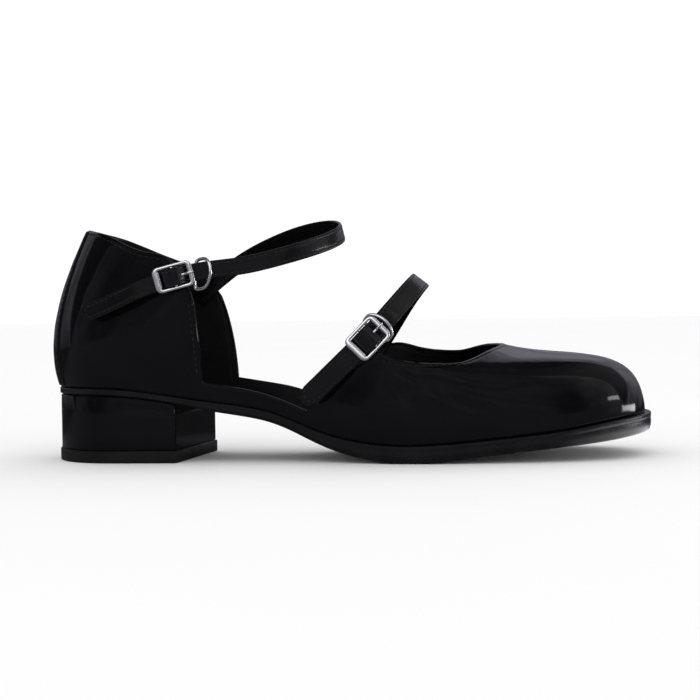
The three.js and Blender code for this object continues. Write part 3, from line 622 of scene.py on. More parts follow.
class Shell:
    """The grid of the upper between the sole and its border: columns round the shoe, levels up it."""

    def __init__(self, inset=0.0, coarse=1.0):
        edges = [RIB_KNOTS[ROW[name]] + inwards * inset for name, inwards in CUT_EDGES]
        places = []
        self.edge_columns = []
        for start, end in zip([0.0, *edges], [*edges, GIRTH]):
            if places:
                self.edge_columns.append(len(places))
            places += segment_places(start, end, start > 0, end < GIRTH, coarse)
        self.places = np.array(places)
        self.wall_level = len(WALL_SHARES) - 1
        self.levels = self.wall_level + MID_STEPS + len(EDGE_STEPS) - 1
        self.inset = inset
        self._find_heights()

    def _find_heights(self):
        """t of every grid point, from distances along each rib."""
        samples = np.linspace(0, 1, RIB_SAMPLES)
        place = np.repeat(self.places[:, None], len(samples), axis=1)
        rib = surface(place, np.broadcast_to(samples, place.shape))
        length = np.concatenate([np.zeros((len(rib), 1)),
                                 np.cumsum(np.linalg.norm(np.diff(rib, axis=1), axis=2), axis=1)], axis=1)
        wall = rib_curve["wall"](self.places) - self.inset
        drop = np.zeros(len(self.places))
        for name, inwards in CUT_EDGES:
            knot = RIB_KNOTS[ROW[name]]
            near = np.abs(self.places - knot) < CORNER["reach"]
            here = near & ((self.places - knot) * inwards >= -1e-6)
            drop[here] = border_drop(self.places[here], knot, inwards, CORNER["radius"], self.inset)
        self.t = np.zeros((len(self.places), self.levels + 1))
        edge = np.array(EDGE_STEPS)[::-1]
        for i in range(len(self.places)):
            wall_s = np.interp(rib[i, 0, 2] + wall[i], rib[i, :, 2], length[i])
            top_s = length[i, -1] - drop[i] - self.inset
            below_edge = top_s - edge
            if below_edge[0] < wall_s + LEAST_HEIGHT:
                below_edge = wall_s + (top_s - wall_s) * (0.4 + 0.6 * (1 - edge / edge[0]))
            middle = wall_s + (below_edge[0] - wall_s) * np.arange(MID_STEPS) / MID_STEPS
            s = np.concatenate([wall_s * np.array(WALL_SHARES)[:-1], middle, below_edge])
            self.t[i] = np.interp(s, length[i], samples)

    def is_cut(self, i):
        a, b, c, d = self.edge_columns
        i %= len(self.places)
        return a <= i < b or c <= i < d

    def border(self):
        """Grid places along the border, once round: collar, lateral cut-out, throat, medial cut-out."""
        a, b, c, d = self.edge_columns
        count, wall, top = len(self.places), self.wall_level, self.levels
        loop = [(i % count, top) for i in range(d, count + a + 1)]
        loop += [(a, l) for l in range(top - 1, wall - 1, -1)]
        loop += [(i, wall) for i in range(a + 1, b + 1)]
        loop += [(b, l) for l in range(wall + 1, top + 1)]
        loop += [(i, top) for i in range(b + 1, c + 1)]
        loop += [(c, l) for l in range(top - 1, wall - 1, -1)]
        loop += [(i, wall) for i in range(c + 1, d + 1)]
        loop += [(d, l) for l in range(wall + 1, top)]
        return loop

    def _loft(self):
        """Points of the grid and their directions out, which are level next to the sole."""
        place = np.repeat(self.places[:, None], self.levels + 1, axis=1)
        base = surface(place, self.t)
        normal = surface_normal(place, self.t)
        level = unit(normal * (1, 1, 0))
        share = (1 - smoothstep(0, UPRIGHT_FOOT, base[..., 2] - base[:, :1, 2]))[..., None]
        return base, unit(normal * (1 - share) + level * share)

    def _sew_groove(self, outer, normal, line):
        """Presses the groove for the stitches into the outer face and swells its edge a little."""
        tree = kdtree.KDTree(len(line))
        for k, point in enumerate(line):
            tree.insert(point, k)
        tree.balance()
        for i, l in np.ndindex(outer.shape[:2]):
            away = tree.find(outer[i, l])[2]
            if away < SWELL["reach"]:
                dip = (away - GROOVE["from_edge"]) / GROOVE["half_width"]
                swell = (away - SWELL["from_edge"]) / SWELL["half_width"]
                rise = SWELL["height"] * math.exp(-swell ** 2) - GROOVE["depth"] * math.exp(-dip ** 2)
                outer[i, l] += normal[i, l] * rise

    def solid(self, offset, thick, foot_drop=0.0, groove=True):
        """A closed sheet: its outer face stands offset from the loft, and its border is rounded."""
        count, rows = len(self.places), self.levels + 1
        base, normal = self._loft()
        field = crease_field(base.reshape(-1, 3)).reshape(count, rows)
        outer = base + normal * (offset + field)[..., None]
        loop = self.border()
        line = np.array([outer[i, l] for i, l in loop])
        line_normal = np.array([normal[i, l] for i, l in loop])
        before = unit(line - np.roll(line, 1, axis=0))
        after = unit(np.roll(line, -1, axis=0) - line)
        edge_before = unit(np.cross(line_normal, before))
        edge_after = unit(np.cross(line_normal, after))
        out = unit(edge_before + edge_after)
        mitre = 1 / np.clip(np.sum(out * edge_after, axis=1), 0.6, 1)
        radius = thick / 2
        if groove:
            self._sew_groove(outer, normal, line)
        self.border_line = line
        self.border_normal = line_normal
        self.border_out = out * mitre[:, None]
        inner = outer - normal * thick
        outer[:, 0, 2] -= foot_drop
        inner[:, 0, 2] -= foot_drop
        for k, (i, l) in enumerate(loop):
            outer[i, l] = line[k] - self.border_out[k] * radius
            inner[i, l] = outer[i, l] - line_normal[k] * thick
        points = [outer.reshape(-1, 3), inner.reshape(-1, 3)]
        centre = line - self.border_out * radius - line_normal * radius
        for step in range(1, RIM_STEPS):
            angle = math.pi * step / RIM_STEPS
            points.append(centre + line_normal * (radius * math.cos(angle))
                          + self.border_out * (radius * math.sin(angle)))
        return np.concatenate(points), *self._faces(loop)

    def _faces(self, loop):
        """Faces of the sheet, each with 1 where it shows the lining and 0 elsewhere."""
        count, rows, size = len(self.places), self.levels + 1, len(loop)

        def at(layer, i, l):
            return (layer * count + i % count) * rows + l

        def rim_at(k, step):
            k %= size
            if step in (0, RIM_STEPS):
                return at(int(step > 0), *loop[k])
            return 2 * count * rows + (step - 1) * size + k

        faces, inside = [], []
        for i in range(count):
            for l in range(self.levels):
                if l >= self.wall_level and self.is_cut(i):
                    continue
                faces.append((at(0, i, l), at(0, i + 1, l), at(0, i + 1, l + 1), at(0, i, l + 1)))
                faces.append((at(1, i, l), at(1, i, l + 1), at(1, i + 1, l + 1), at(1, i + 1, l)))
                inside += [0, 1]
            faces.append((at(0, i, 0), at(1, i, 0), at(1, i + 1, 0), at(0, i + 1, 0)))
            inside.append(1)
        for k in range(size):
            for step in range(RIM_STEPS):
                near, far = rim_at(k, step), rim_at(k + 1, step)
                faces.append((near, far, rim_at(k + 1, step + 1), rim_at(k, step + 1)))
                inside.append(0)
        return faces, inside


def used_only(points, faces):
    """Drops the points that no face uses."""
    used = np.unique(np.concatenate([np.array(face) for face in faces]))
    new = np.full(len(points), -1)
    new[used] = np.arange(len(used))
    return points[used], [tuple(new[list(face)]) for face in faces]


STITCH = {"pitch": 2.7, "length": 2.1, "radius": 0.2, "lift": 0.02, "steps": 7, "sides": 6}


def stitch_form(centre, ahead, out):
    """One stitch: a short thread that dives in at both ends."""
    length, radius = STITCH["length"], STITCH["radius"]
    shares = np.linspace(-1, 1, STITCH["steps"])
    dive = 1.3 * radius * np.abs(shares) ** 3
    path = centre + np.outer(shares * length / 2, ahead) - np.outer(dive, out)
    return tube(path, radius * np.sqrt(np.clip(1.05 - shares ** 4, 0.05, 1)), sides=STITCH["sides"])


def sew(parts, line, normals, pitch=STITCH["pitch"]):
    """Adds a row of stitches along a line on a surface."""
    steps = np.concatenate([[0], np.cumsum(np.linalg.norm(np.diff(line, axis=0), axis=1))])
    reach = 0.6

    def blend(rows, s):
        return np.array([np.interp(s, steps, rows[:, axis]) for axis in range(3)])

    count = int(steps[-1] / pitch)
    for k in range(count):
        middle = (k + 0.5) * steps[-1] / count
        ahead = unit(blend(line, middle + reach) - blend(line, middle - reach))
        out = unit(blend(normals, middle))
        centre = blend(line, middle) + out * STITCH["lift"]
        parts.add(*stitch_form(centre, ahead, out))


def sewn_runs(shell):
    """The unbroken runs of border places above the low walls, which are the stitched ones."""
    sewn = [level > shell.wall_level + 2 for _, level in shell.border()]
    count = len(sewn)
    begin = next(k for k in range(count) if sewn[k] and not sewn[k - 1])
    runs, run = [], []
    for step in range(count + 1):
        k = (begin + step) % count
        if sewn[k] and step < count:
            run.append(k)
        elif len(run) > 3:
            runs.append(run)
            run = []
    return runs


def build_upper():
    shell = Shell()
    points, faces, inside = shell.solid(0.0, WALL, foot_drop=0.25)
    points, faces = used_only(points, faces)
    make_piece("upper_leather", points, faces, [PATENT, LINING], ["upper"], inside)

    stitches = Parts()
    sunk = GROOVE["depth"] - STITCH["lift"]
    line = shell.border_line - shell.border_out * GROOVE["from_edge"] - shell.border_normal * sunk
    for run in sewn_runs(shell):
        sew(stitches, line[run], shell.border_normal[run])
    stitches.piece("upper_topline_stitching", [THREAD], "patent")

    lining = Shell(inset=2.6, coarse=1.6)
    points, faces, _ = lining.solid(-WALL - 0.05, 0.5, groove=False)
    points, faces = used_only(points, faces)
    make_piece("lining", points, faces, [LINING])


BACKSTAY = {
    "thick": 0.65,
    "sunk": 0.4,
    "soft_edge": 0.7,
    "soft_end": 1.2,
    "height": 60.0,
    "stitches_from_edge": 1.5,
    # share of the height of the heel's back, half width
    "rows": [(0.0, 15.5), (0.2, 14.4), (0.45, 13.0), (0.65, 11.6), (0.82, 9.2), (1.0, 7.2)],
}


def build_backstay():
    """A strip down the back of the heel, standing proud of the quarters, with soft edges."""
    table = np.array(BACKSTAY["rows"], float)
    half_width = smooth_curve(table[:, 0], table[:, 1])
    heights = np.linspace(0.012, 0.985, 70)
    across = np.concatenate([[-1], np.linspace(-0.97, 0.97, 33), [1]])
    outer, under = [], []
    for t in heights:
        place = across * half_width(t)
        level = np.full_like(place, t)
        base = surface(place, level)
        normal = surface_normal(place, level)
        field = crease_field(base)
        from_edge = (1 - np.abs(across)) * half_width(t) / BACKSTAY["soft_edge"]
        round_ = np.sqrt(np.clip(1 - (1 - np.clip(from_edge, 0, 1)) ** 2, 0, 1))
        end = min(1.0, (1 - t) * BACKSTAY["height"] / BACKSTAY["soft_end"])
        outer.append(base + normal * (BACKSTAY["thick"] * round_ * end + field)[:, None])
        under.append(base + normal * (field - BACKSTAY["sunk"])[:, None])
    points = outer + under
    columns, rows = len(across), len(heights)

    def at(layer, j, k):
        return (layer * rows + j) * columns + k

    faces = []
    for j in range(rows - 1):
        for k in range(columns - 1):
            faces.append((at(0, j, k), at(0, j, k + 1), at(0, j + 1, k + 1), at(0, j + 1, k)))
            faces.append((at(1, j, k), at(1, j + 1, k), at(1, j + 1, k + 1), at(1, j, k + 1)))
        for k, turn in ((0, 1), (columns - 1, -1)):
            faces.append((at(0, j, k), at(0, j + 1, k), at(1, j + 1, k), at(1, j, k))[::turn])
    for k in range(columns - 1):
        for j, turn in ((0, 1), (rows - 1, -1)):
            faces.append((at(0, j, k), at(1, j, k), at(1, j, k + 1), at(0, j, k + 1))[::turn])
    make_piece("backstay", np.concatenate(points), faces, [PATENT])

    stitches = Parts()
    for side in (-1, 1):
        t = np.linspace(0.05, 0.96, 60)
        place = side * (half_width(t) - BACKSTAY["stitches_from_edge"])
        normal = surface_normal(place, t)
        sew(stitches, surface(place, t) + normal * BACKSTAY["thick"], normal)
    stitches.piece("backstay_stitching", [THREAD], "patent")


# ---------------------------------------------------------------- sole and heel
def slab(rim, top, under, pairs_at, across=14, crown=None):
    """A slab between the height functions top and under. The rim's rows run from its top face to its
    under face: margin past the outline, share of the way down, further drop. pairs_at(margin) gives
    the lateral and the medial points of the outline, from the back to the front."""

    def height(row, x):
        _, share, drop = rim[row]
        return top(x) + (under(x) - top(x)) * share - drop

    rings = []
    for row, (margin, _, _) in enumerate(rim):
        lateral, medial = pairs_at(margin)
        ring = np.concatenate([lateral, medial[1:][::-1]])
        ring[:, 2] = height(row, ring[:, 0])
        rings.append(ring)
    half, size = len(lateral), len(ring)
    points = np.concatenate(rings)
    faces = []
    for r in range(len(rings) - 1):
        for k in range(size):
            l = (k + 1) % size
            faces.append((r * size + k, (r + 1) * size + k, (r + 1) * size + l, r * size + l))
    extra = []
    count = len(points)
    for ring_index, turn in ((0, 1), (len(rings) - 1, -1)):
        ring = rings[ring_index]
        rows = []
        for j in range(1, half):
            left, right = ring_index * size + j, ring_index * size + size - j
            if j == half - 1 and np.allclose(ring[j], ring[size - j]):
                rows.append([left] * (across + 1))
                continue
            row = [left]
            for k in range(1, across):
                share = k / across
                point = ring[j] * (1 - share) + ring[size - j] * share
                point[2] = height(ring_index, point[0])
                if crown and ring_index == 0:
                    point[2] += crown(point[0]) * (1 - (2 * share - 1) ** 2)
                extra.append(point)
                row.append(count)
                count += 1
            row.append(right)
            rows.append(row)
        back = ring_index * size
        for k in range(across):
            faces.append((back, rows[0][k], rows[0][k + 1])[::turn])
        for a, b in zip(rows[:-1], rows[1:]):
            for k in range(across):
                face = list(dict.fromkeys((a[k], b[k], b[k + 1], a[k + 1])))
                if len(face) > 2:
                    faces.append(tuple(face)[::turn])
    return np.concatenate([points, np.array(extra)]), faces


def level(z):
    """A height function that is the same everywhere."""
    return lambda x: np.full_like(x, z)


def foot_sides(margin_at, steps=300):
    """Lateral and medial outline points at the same stages, from the back of the heel to the toe."""
    toe = RIB_KNOTS[ROW["toe"]]
    share = np.linspace(0, 1, steps + 1)
    lateral, medial = toe * share, (toe - GIRTH) * share
    return lambda extra: (
        outline(lateral, margin_at(rib_curve["foot_x"](lateral)) + extra),
        outline(medial, margin_at(rib_curve["foot_x"](medial)) + extra)[:-1],
    )


def place_at_x(target, start, end):
    near, far = start, end
    for _ in range(40):
        middle = (near + far) / 2
        if rib_curve["foot_x"](np.array(middle)) < target:
            near = middle
        else:
            far = middle
    return near


def heel_sides(corner=1.4, steps=90):
    """Outline of the heel, with its slanting breast and round breast corners."""
    lateral_end = place_at_x(HEEL_BREAST["lateral_x"], 0.0, RIB_KNOTS[ROW["lateral_wing"]])
    medial_end = place_at_x(HEEL_BREAST["medial_x"], 0.0, RIB_KNOTS[ROW["medial_wing"]] - GIRTH)

    def sides(margin):
        share = np.linspace(0, 1, steps)
        margins = np.full(steps, margin)
        lateral, medial = outline(lateral_end * share, margins), outline(medial_end * share, margins)
        breast = unit(medial[-1] - lateral[-1])
        front = np.cross(breast, (0, 0, 1.0))
        walls = []
        for wall, inwards in ((lateral, breast), (medial, -breast)):
            corner_point = wall[-1] + front * margin
            body = wall[np.linalg.norm(wall - wall[-1], axis=1) > corner]
            end = corner_point + inwards * corner
            turn = [(1 - s) ** 2 * body[-1] + 2 * s * (1 - s) * corner_point + s * s * end
                    for s in np.linspace(0, 1, 9)[1:]]
            walls.append(np.concatenate([body, turn]))
        middle = (walls[0][-1] + walls[1][-1]) / 2
        to_middle = [[wall[-1] * (1 - s) + middle * s for s in np.linspace(0, 1, 10)[1:]] for wall in walls]
        return np.concatenate([walls[0], to_middle[0]]), np.concatenate([walls[1], to_middle[1][:-1]])

    return sides


def welt_margin(x):
    return WELT["waist"] + (WELT["toe"] - WELT["waist"]) * smoothstep(WELT["start_x"], WELT["end_x"], x)


def build_outsole():
    """Moulded outsole: a rounded lip along its top, sides that turn under and a rounded tread edge."""
    top_round, under_round, tuck = 0.6, 1.3, 0.7
    rim = [(-4.0, 0.0, 0.0)]
    for angle in np.radians(np.linspace(90, 0, 5)):
        rim.append((top_round * (math.cos(angle) - 1), 0.0, top_round * (1 - math.sin(angle))))
    rim += [(0.0, 0.14, 0.5), (-0.12, 0.2, 0.5), (-0.14, 0.26, 0.4)]
    for share in (0.4, 0.55, 0.7):
        full = 0.2 * math.sin(math.pi * (share - 0.2) / 1.1)
        rim.append((-0.14 + full - tuck * (share - 0.4), share, 0.3))
    for angle in np.radians(np.linspace(0, 90, 6)):
        inwards = under_round * (1 - math.cos(angle)) + 0.6 * tuck
        rim.append((-inwards, 1.0, -under_round * (1 - math.sin(angle))))
    rim.append((-5.0, 1.0, 0.0))
    points, faces = slab(rim, sole_top, sole_under, foot_sides(welt_margin))
    make_piece("outsole_rubber", points, faces, [SOLE_RUBBER], ["outsole"])


def build_heel():
    """The covered block and the wearing piece under it, both with softened edges."""
    rim = [(-0.9, 0, 0), (-0.35, 0, 0), (-0.1, 0, 0.15), (0.0, 0, 0.45), (0.0, 0.4, 0), (0.0, 0.7, 0),
           (0.0, 1, -0.45), (-0.1, 1, -0.15), (-0.4, 1, 0), (-1.2, 1, 0)]
    bottom = level(TOP_PIECE["height"] + 0.1)
    points, faces = slab(rim, lambda x: sole_under(x) - 0.05, bottom, heel_sides(), across=10)
    make_piece("heel_cover", points, faces, [HEEL_PATENT], ["heel_block"])

    edge = [(-1.2, 0), (-0.5, 0), (-0.13, 0.12), (0.0, 0.5)]  # margin, drop
    rim = [(TOP_PIECE["proud"] + margin, 0, drop) for margin, drop in edge]
    rim += [(TOP_PIECE["proud"] + margin, 1, -drop) for margin, drop in edge[::-1]]
    points, faces = slab(rim, level(TOP_PIECE["height"]), level(0.0), heel_sides(), across=10)
    make_piece("heel_top_lift", points, faces, [TOP_PIECE_RUBBER], ["heel_top_piece"])


def build_insole():
    """The sock board, a little crowned, most of all under the heel."""
    rim = [(-3.0, 0, 0.02), (-1.0, 0, 0.1), (-0.35, 0, 0.35), (0.0, 0, 0.9), (0.0, 1, 0)]
    sides = foot_sides(lambda x: np.full_like(x, -INSOLE["inset"]))
    points, faces = slab(rim, lambda x: sole_top(x) + GAP + INSOLE["thick"], lambda x: sole_top(x) + 0.1,
                         sides, across=16, crown=lambda x: 0.5 + 0.9 * math.exp(-((x - 32) / 26) ** 2))
    make_piece("sock", points, faces, [SOCK], ["insole"])


# ---------------------------------------------------------------- straps and buckles
class StrapPath:
    """The middle line of a strap, with its directions ahead, widthways and out from the foot."""

    def __init__(self, strap):
        table = np.array(strap["line"], float)
        steps = np.linalg.norm(np.diff(table[:, :3], axis=0), axis=1)
        knots = np.concatenate([[0], np.cumsum(steps)])
        self.length = knots[-1]
        self.curves = [smooth_curve(knots, table[:, k]) for k in range(4)]
        self.widthways = np.array(strap["widthways"], float)

    def middle(self, s):
        return np.stack([self.curves[k](s) for k in range(3)], -1)

    def frame(self, s):
        s = np.asarray(s, float)
        ahead = unit(self.middle(s + 0.1) - self.middle(s - 0.1))
        upright = unit(self.widthways - ahead * np.sum(ahead * self.widthways, -1, keepdims=True))
        flat = np.cross(ahead, upright)
        lean = np.radians(self.curves[3](s))[..., None]
        wide = upright * np.cos(lean) - flat * np.sin(lean)
        return self.middle(s), ahead, wide, np.cross(ahead, wide)


def laced_offset(from_buckle):
    """How far the strap swings out and in as it is laced through its buckle."""
    half = (BUCKLE["length"] - BUCKLE["end_bar"]) / 2
    over, under, calm = LACING["over"], LACING["under"], LACING["calm"]
    far = np.abs(from_buckle)
    inside = (over + under) / 2 + (over - under) / 2 * np.cos(math.pi * np.clip(far / half, 0, 1))
    return np.where(far <= half, inside, under * (1 - smoothstep(half, half + calm, far)))


BAND = {"round_edge": 0.45, "crown": 0.1, "groove_from_edge": 1.3, "groove_half": 0.25, "groove_deep": 0.12}


def band_section(thick, width):
    """Section of a strap as (across, out) pairs: round edges, and a groove for each row of stitches."""
    half, edge, crown = width / 2, BAND["round_edge"], BAND["crown"]
    rows = [(-half, 0.0)]
    for angle in np.radians((30, 60, 90)):
        rows.append((-half + edge * (1 - math.cos(angle)), thick / 2 * math.sin(angle)))
    for place in (-0.45, -0.2, 0.0, 0.2, 0.45):
        dip = BAND["groove_deep"] * math.exp(-(place / BAND["groove_half"]) ** 2)
        rows.append((-half + BAND["groove_from_edge"] + place, thick / 2 + crown * 0.5 - dip))
    rows += [(-half * 0.3, thick / 2 + crown * 0.9), (0.0, thick / 2 + crown)]
    upper = rows + [(-a, b) for a, b in rows[-2::-1]]
    lower = [(a, -min(b, thick / 2)) for a, b in upper[-2:0:-1]]
    return np.array(upper + lower)


def band(path, stations, width_at, thick, offset_at, width):
    """Points and faces of a leather band along a path. width_at gives its upper and lower edges."""
    section = band_section(thick, width)
    middle, _, wide, out = path.frame(stations)
    middle = middle + out * offset_at(stations)[:, None]
    upper, lower = width_at(stations)
    share = section[:, 0] / width + 0.5
    across = lower[:, None] * (1 - share) + upper[:, None] * share
    points = middle[:, None] + wide[:, None] * across[..., None] + out[:, None] * section[None, :, 1, None]
    return points.reshape(-1, 3), ring_faces(len(stations), len(section), closed=False)


def strap_stations(length):
    """Places along a strap, closer together at its tip and its end."""
    tip = np.concatenate([[0, 0.12, 0.3, 0.6], np.arange(1.0, 6.0, 0.5)])
    body = np.arange(6.0, length - 0.4, 0.7)
    end = length - np.array([0.3, 0.12, 0.0])
    return np.concatenate([tip, body, end])


def strap_edges(strap, s):
    """How far a strap's upper and lower edges are from its middle line. Its tip narrows."""
    tip, half_width = strap["tip"], strap["width"] / 2
    share = np.clip(s / tip["reach"], 0, 1)
    round_ = np.sqrt(np.clip(1 - (1 - np.clip(s / 0.8, 0, 1)) ** 2, 0, 1))
    upper = half_width * (tip["upper"] + (1 - tip["upper"]) * share ** 0.6)
    lower = half_width * (tip["lower"] + (-1 - tip["lower"]) * share ** 0.8)
    middle = (upper + lower) / 2
    half = (upper - lower) / 2 * (0.82 + 0.18 * round_)
    return middle + half, middle - half


STRAP_SEAM = {
    "from_edge": BAND["groove_from_edge"],
    "from_tip": (2.6, 2.2, 1.9, 1.8, 1.8, 1.9, 2.2, 2.6),
    "from_end": 3.5,
}


def sew_strap(name, strap, path):
    """Rows of stitches along both edges of a strap, round its tip and across its far end."""
    stitches = Parts()
    from_edge = STRAP_SEAM["from_edge"]

    def seam(s, across, lift, pitch):
        middle, _, wide, out = path.frame(s)
        middle = middle + out * laced_offset(s - strap["buckle_at"])[:, None]
        sew(stitches, middle + wide * across[:, None] + out * (strap["thick"] / 2 + lift), out, pitch)

    s = np.arange(STRAP_SEAM["from_tip"][0], path.length - 1.5, 0.8)
    upper, lower = strap_edges(strap, s)
    seam(s, upper - from_edge, -0.04, 2.2)
    seam(s, lower + from_edge, -0.04, 2.2)
    s = np.array(STRAP_SEAM["from_tip"])
    upper, lower = strap_edges(strap, s)
    share = np.linspace(0, 1, len(s))
    seam(s, (upper - from_edge) * (1 - share) + (lower + from_edge) * share, 0.02, 2.0)
    half = strap["width"] / 2 - from_edge
    seam(np.full(6, path.length - STRAP_SEAM["from_end"]), np.linspace(-half, half, 6), 0.02, 2.0)
    stitches.piece(f"{name}_strap_stitching", [THREAD], "strap_patent")


def build_chape(name, strap, path):
    """The short band that holds the buckle. It rises from behind the strap to the centre bar."""
    at = strap["buckle_at"]
    width = strap["width"] - CHAPE["narrower"]

    def offset(s):
        rise = smoothstep(at + CHAPE["rise"][0], at + CHAPE["rise"][1], s)
        return (CHAPE["deep"] - CHAPE["risen"]) * rise - CHAPE["deep"]

    def edges(s):
        return np.full_like(s, width / 2), np.full_like(s, -width / 2)

    stations = np.linspace(at - CHAPE["behind"], at, CHAPE["steps"])
    points, faces = band(path, stations, edges, CHAPE["thick"], offset, width)
    make_piece(f"{name}_chape_leather", points, faces, [STRAP_PATENT], [f"{name}_chape"])


def build_strap(name, strap):
    path = StrapPath(strap)
    at = strap["buckle_at"]
    points, faces = band(path, strap_stations(path.length), lambda s: strap_edges(strap, s), strap["thick"],
                         lambda s: laced_offset(s - at), strap["width"])
    make_piece(f"{name}_strap_leather", points, faces, [STRAP_PATENT], [f"{name}_strap"])
    sew_strap(name, strap, path)
    build_chape(name, strap, path)
    build_buckle(name, strap, path, at)
    build_keeper(name, strap, path, at + strap["keeper"]["at"])


def on_strap(path, s, local):
    """Local points (ahead, widthways, out) at a place on a strap, in the shoe's frame."""
    middle, ahead, wide, out = path.frame(np.array(float(s)))
    return middle + local[:, :1] * ahead + local[:, 1:2] * wide + local[:, 2:] * out


def rounded_rectangle(length, width, radius, arc=8, straight=6):
    """A closed line round a rectangle with round corners, in the XY plane."""
    points = []
    corners = [(1, 1), (-1, 1), (-1, -1), (1, -1)]
    for number, (sx, sy) in enumerate(corners):
        centre = np.array([sx * (length / 2 - radius), sy * (width / 2 - radius)])
        for k in range(arc + 1):
            angle = math.pi / 2 * (number + k / arc)
            points.append(centre + radius * np.array([math.cos(angle), math.sin(angle)]))
    line = []
    for k, point in enumerate(points):
        following = points[(k + 1) % len(points)]
        pieces = straight if np.linalg.norm(following - point) > 4 * radius / arc else 1
        line += [point + (following - point) * j / pieces for j in range(pieces)]
    line = np.array(line)
    return np.column_stack([line, np.zeros(len(line))])


def signed_power(value, power):
    return np.sign(value) * np.abs(value) ** power


def build_buckle(name, strap, path, at):
    """A polished frame with flattened round sides, its centre bar, and the prong round that bar."""
    inside = strap["width"] + 2 * BUCKLE["clear"]
    wide = inside + 2 * BUCKLE["side"]
    side, deep, end_bar = BUCKLE["side"], BUCKLE["deep"], BUCKLE["end_bar"]
    line = rounded_rectangle(BUCKLE["length"] - end_bar, wide - side, BUCKLE["corner"] - side / 2)
    ahead = unit(np.roll(line, -1, axis=0) - np.roll(line, 1, axis=0))
    outward = np.cross(ahead, (0, 0, 1.0))
    bar_wide = np.where(outward[:, 0] < 0, BUCKLE["heel_bar_wide"], BUCKLE["toe_bar_wide"])
    across = side + (bar_wide - side) * outward[:, 0] ** 2
    line[:, 0] -= signed_power(outward[:, 0], 2) * (bar_wide - end_bar) / 2
    sides, flatness = 16, 0.8
    angle = np.arange(sides) * 2 * math.pi / sides
    section = signed_power(np.cos(angle), flatness)[None, :, None] * across[:, None, None] / 2
    rise = signed_power(np.sin(angle), flatness)[None, :, None] * deep / 2
    ring = outward[:, None] * section + np.array([0, 0, 1.0]) * rise
    metal = Parts()
    metal.add(on_strap(path, at, (line[:, None] + ring).reshape(-1, 3)), ring_faces(len(line), sides, True))
    reach = inside / 2 + 0.5
    bar = np.column_stack([np.zeros(12), np.linspace(-reach, reach, 12), np.zeros(12)])
    bar_points, bar_faces = tube(bar, BUCKLE["centre_bar"] / 2)
    metal.add(on_strap(path, at, bar_points), bar_faces)
    metal.piece(f"{name}_buckle_frame_wire", [NICKEL], "nickel", [f"{name}_buckle_frame"])

    ahead, out = np.array(PRONG["line"]).T
    knots = np.arange(len(ahead))
    steps = np.linspace(0, knots[-1], PRONG["steps"])
    line = np.column_stack([smooth_curve(knots, ahead)(steps), 0 * steps, smooth_curve(knots, out)(steps)])
    points, faces = tube(line, np.interp(steps, *np.array(PRONG["radii"]).T))
    make_piece(f"{name}_buckle_prong_wire", on_strap(path, at, points), faces, [NICKEL],
               [f"{name}_buckle_prong"])


def build_keeper(name, strap, path, at):
    """A D-shaped ring round the strap: its straight side lies behind the strap, its bow in front."""
    keeper = strap["keeper"]
    half_width = strap["width"] / 2 + keeper["clear"]
    angle = np.linspace(0, 2 * math.pi, 240, endpoint=False)
    power = np.where(np.cos(angle) < 0, KEEPER["squareness"], 1.0)
    forward = signed_power(np.cos(angle), power)
    across = signed_power(np.sin(angle), power) * half_width
    bow = (keeper["bow_out"] - keeper["back_out"]) * ((1 + forward) / 2) ** KEEPER["depth_power"]
    turn = math.radians(keeper["swing"]) * across
    line = np.column_stack([keeper["reach"] * forward - turn, across - keeper["drop"],
                            keeper["back_out"] + bow])
    line = np.vstack([line, line[:1]])
    steps = np.concatenate([[0], np.cumsum(np.linalg.norm(np.diff(line, axis=0), axis=1))])
    even = np.linspace(0, steps[-1], 90, endpoint=False)
    line = np.column_stack([np.interp(even, steps, line[:, k]) for k in range(3)])
    points, faces = tube(line, KEEPER["wire"] / 2, closed=True)
    make_piece(f"{name}_keeper_ring_wire", on_strap(path, at, points), faces, [NICKEL],
               [f"{name}_keeper_ring"])


build_upper()
build_backstay()
build_outsole()
build_heel()
build_insole()
build_strap("ankle", ANKLE_STRAP)
build_strap("instep", INSTEP_STRAP)

# ---------------------------------------------------------------- camera
CAMERA = {"yaw": 3.11, "pitch": 1.48, "roll": -0.75, "distance": 609.0, "target": (127.5, 0.0, 45.0),
          "mm_per_pixel": 0.4267, "pixels": 700, "sensor": 36.0}


def stand(thing, right, up, back, place):
    """Links a camera or a light, set at a place with its X, Y and Z along right, up and back."""
    bpy.context.scene.collection.objects.link(thing)
    matrix = Matrix.Identity(4)
    for row in range(3):
        matrix[row] = (right[row], up[row], back[row], place[row])
    thing.matrix_world = matrix


def build_camera():
    """Level with the shoe on its lateral side, turned a little towards the toe."""
    yaw, pitch, roll = (math.radians(CAMERA[key]) for key in ("yaw", "pitch", "roll"))
    ahead = np.array([-math.sin(yaw) * math.cos(pitch), math.cos(yaw) * math.cos(pitch), -math.sin(pitch)])
    right = np.array([math.cos(yaw), math.sin(yaw), 0])
    up = np.cross(right, ahead)
    right, up = (math.cos(roll) * right + math.sin(roll) * up, math.cos(roll) * up - math.sin(roll) * right)
    target = np.array(CAMERA["target"]) - (HEEL_REST_X, 0, 0)
    place = (target - ahead * CAMERA["distance"]) * MM
    data = bpy.data.cameras.new("camera")
    data.sensor_width = CAMERA["sensor"]
    data.lens = CAMERA["sensor"] * CAMERA["distance"] / (CAMERA["mm_per_pixel"] * CAMERA["pixels"])
    data.clip_start = 0.01
    camera = bpy.data.objects.new("camera", data)
    stand(camera, right, up, -ahead, place)
    bpy.context.scene.camera = camera


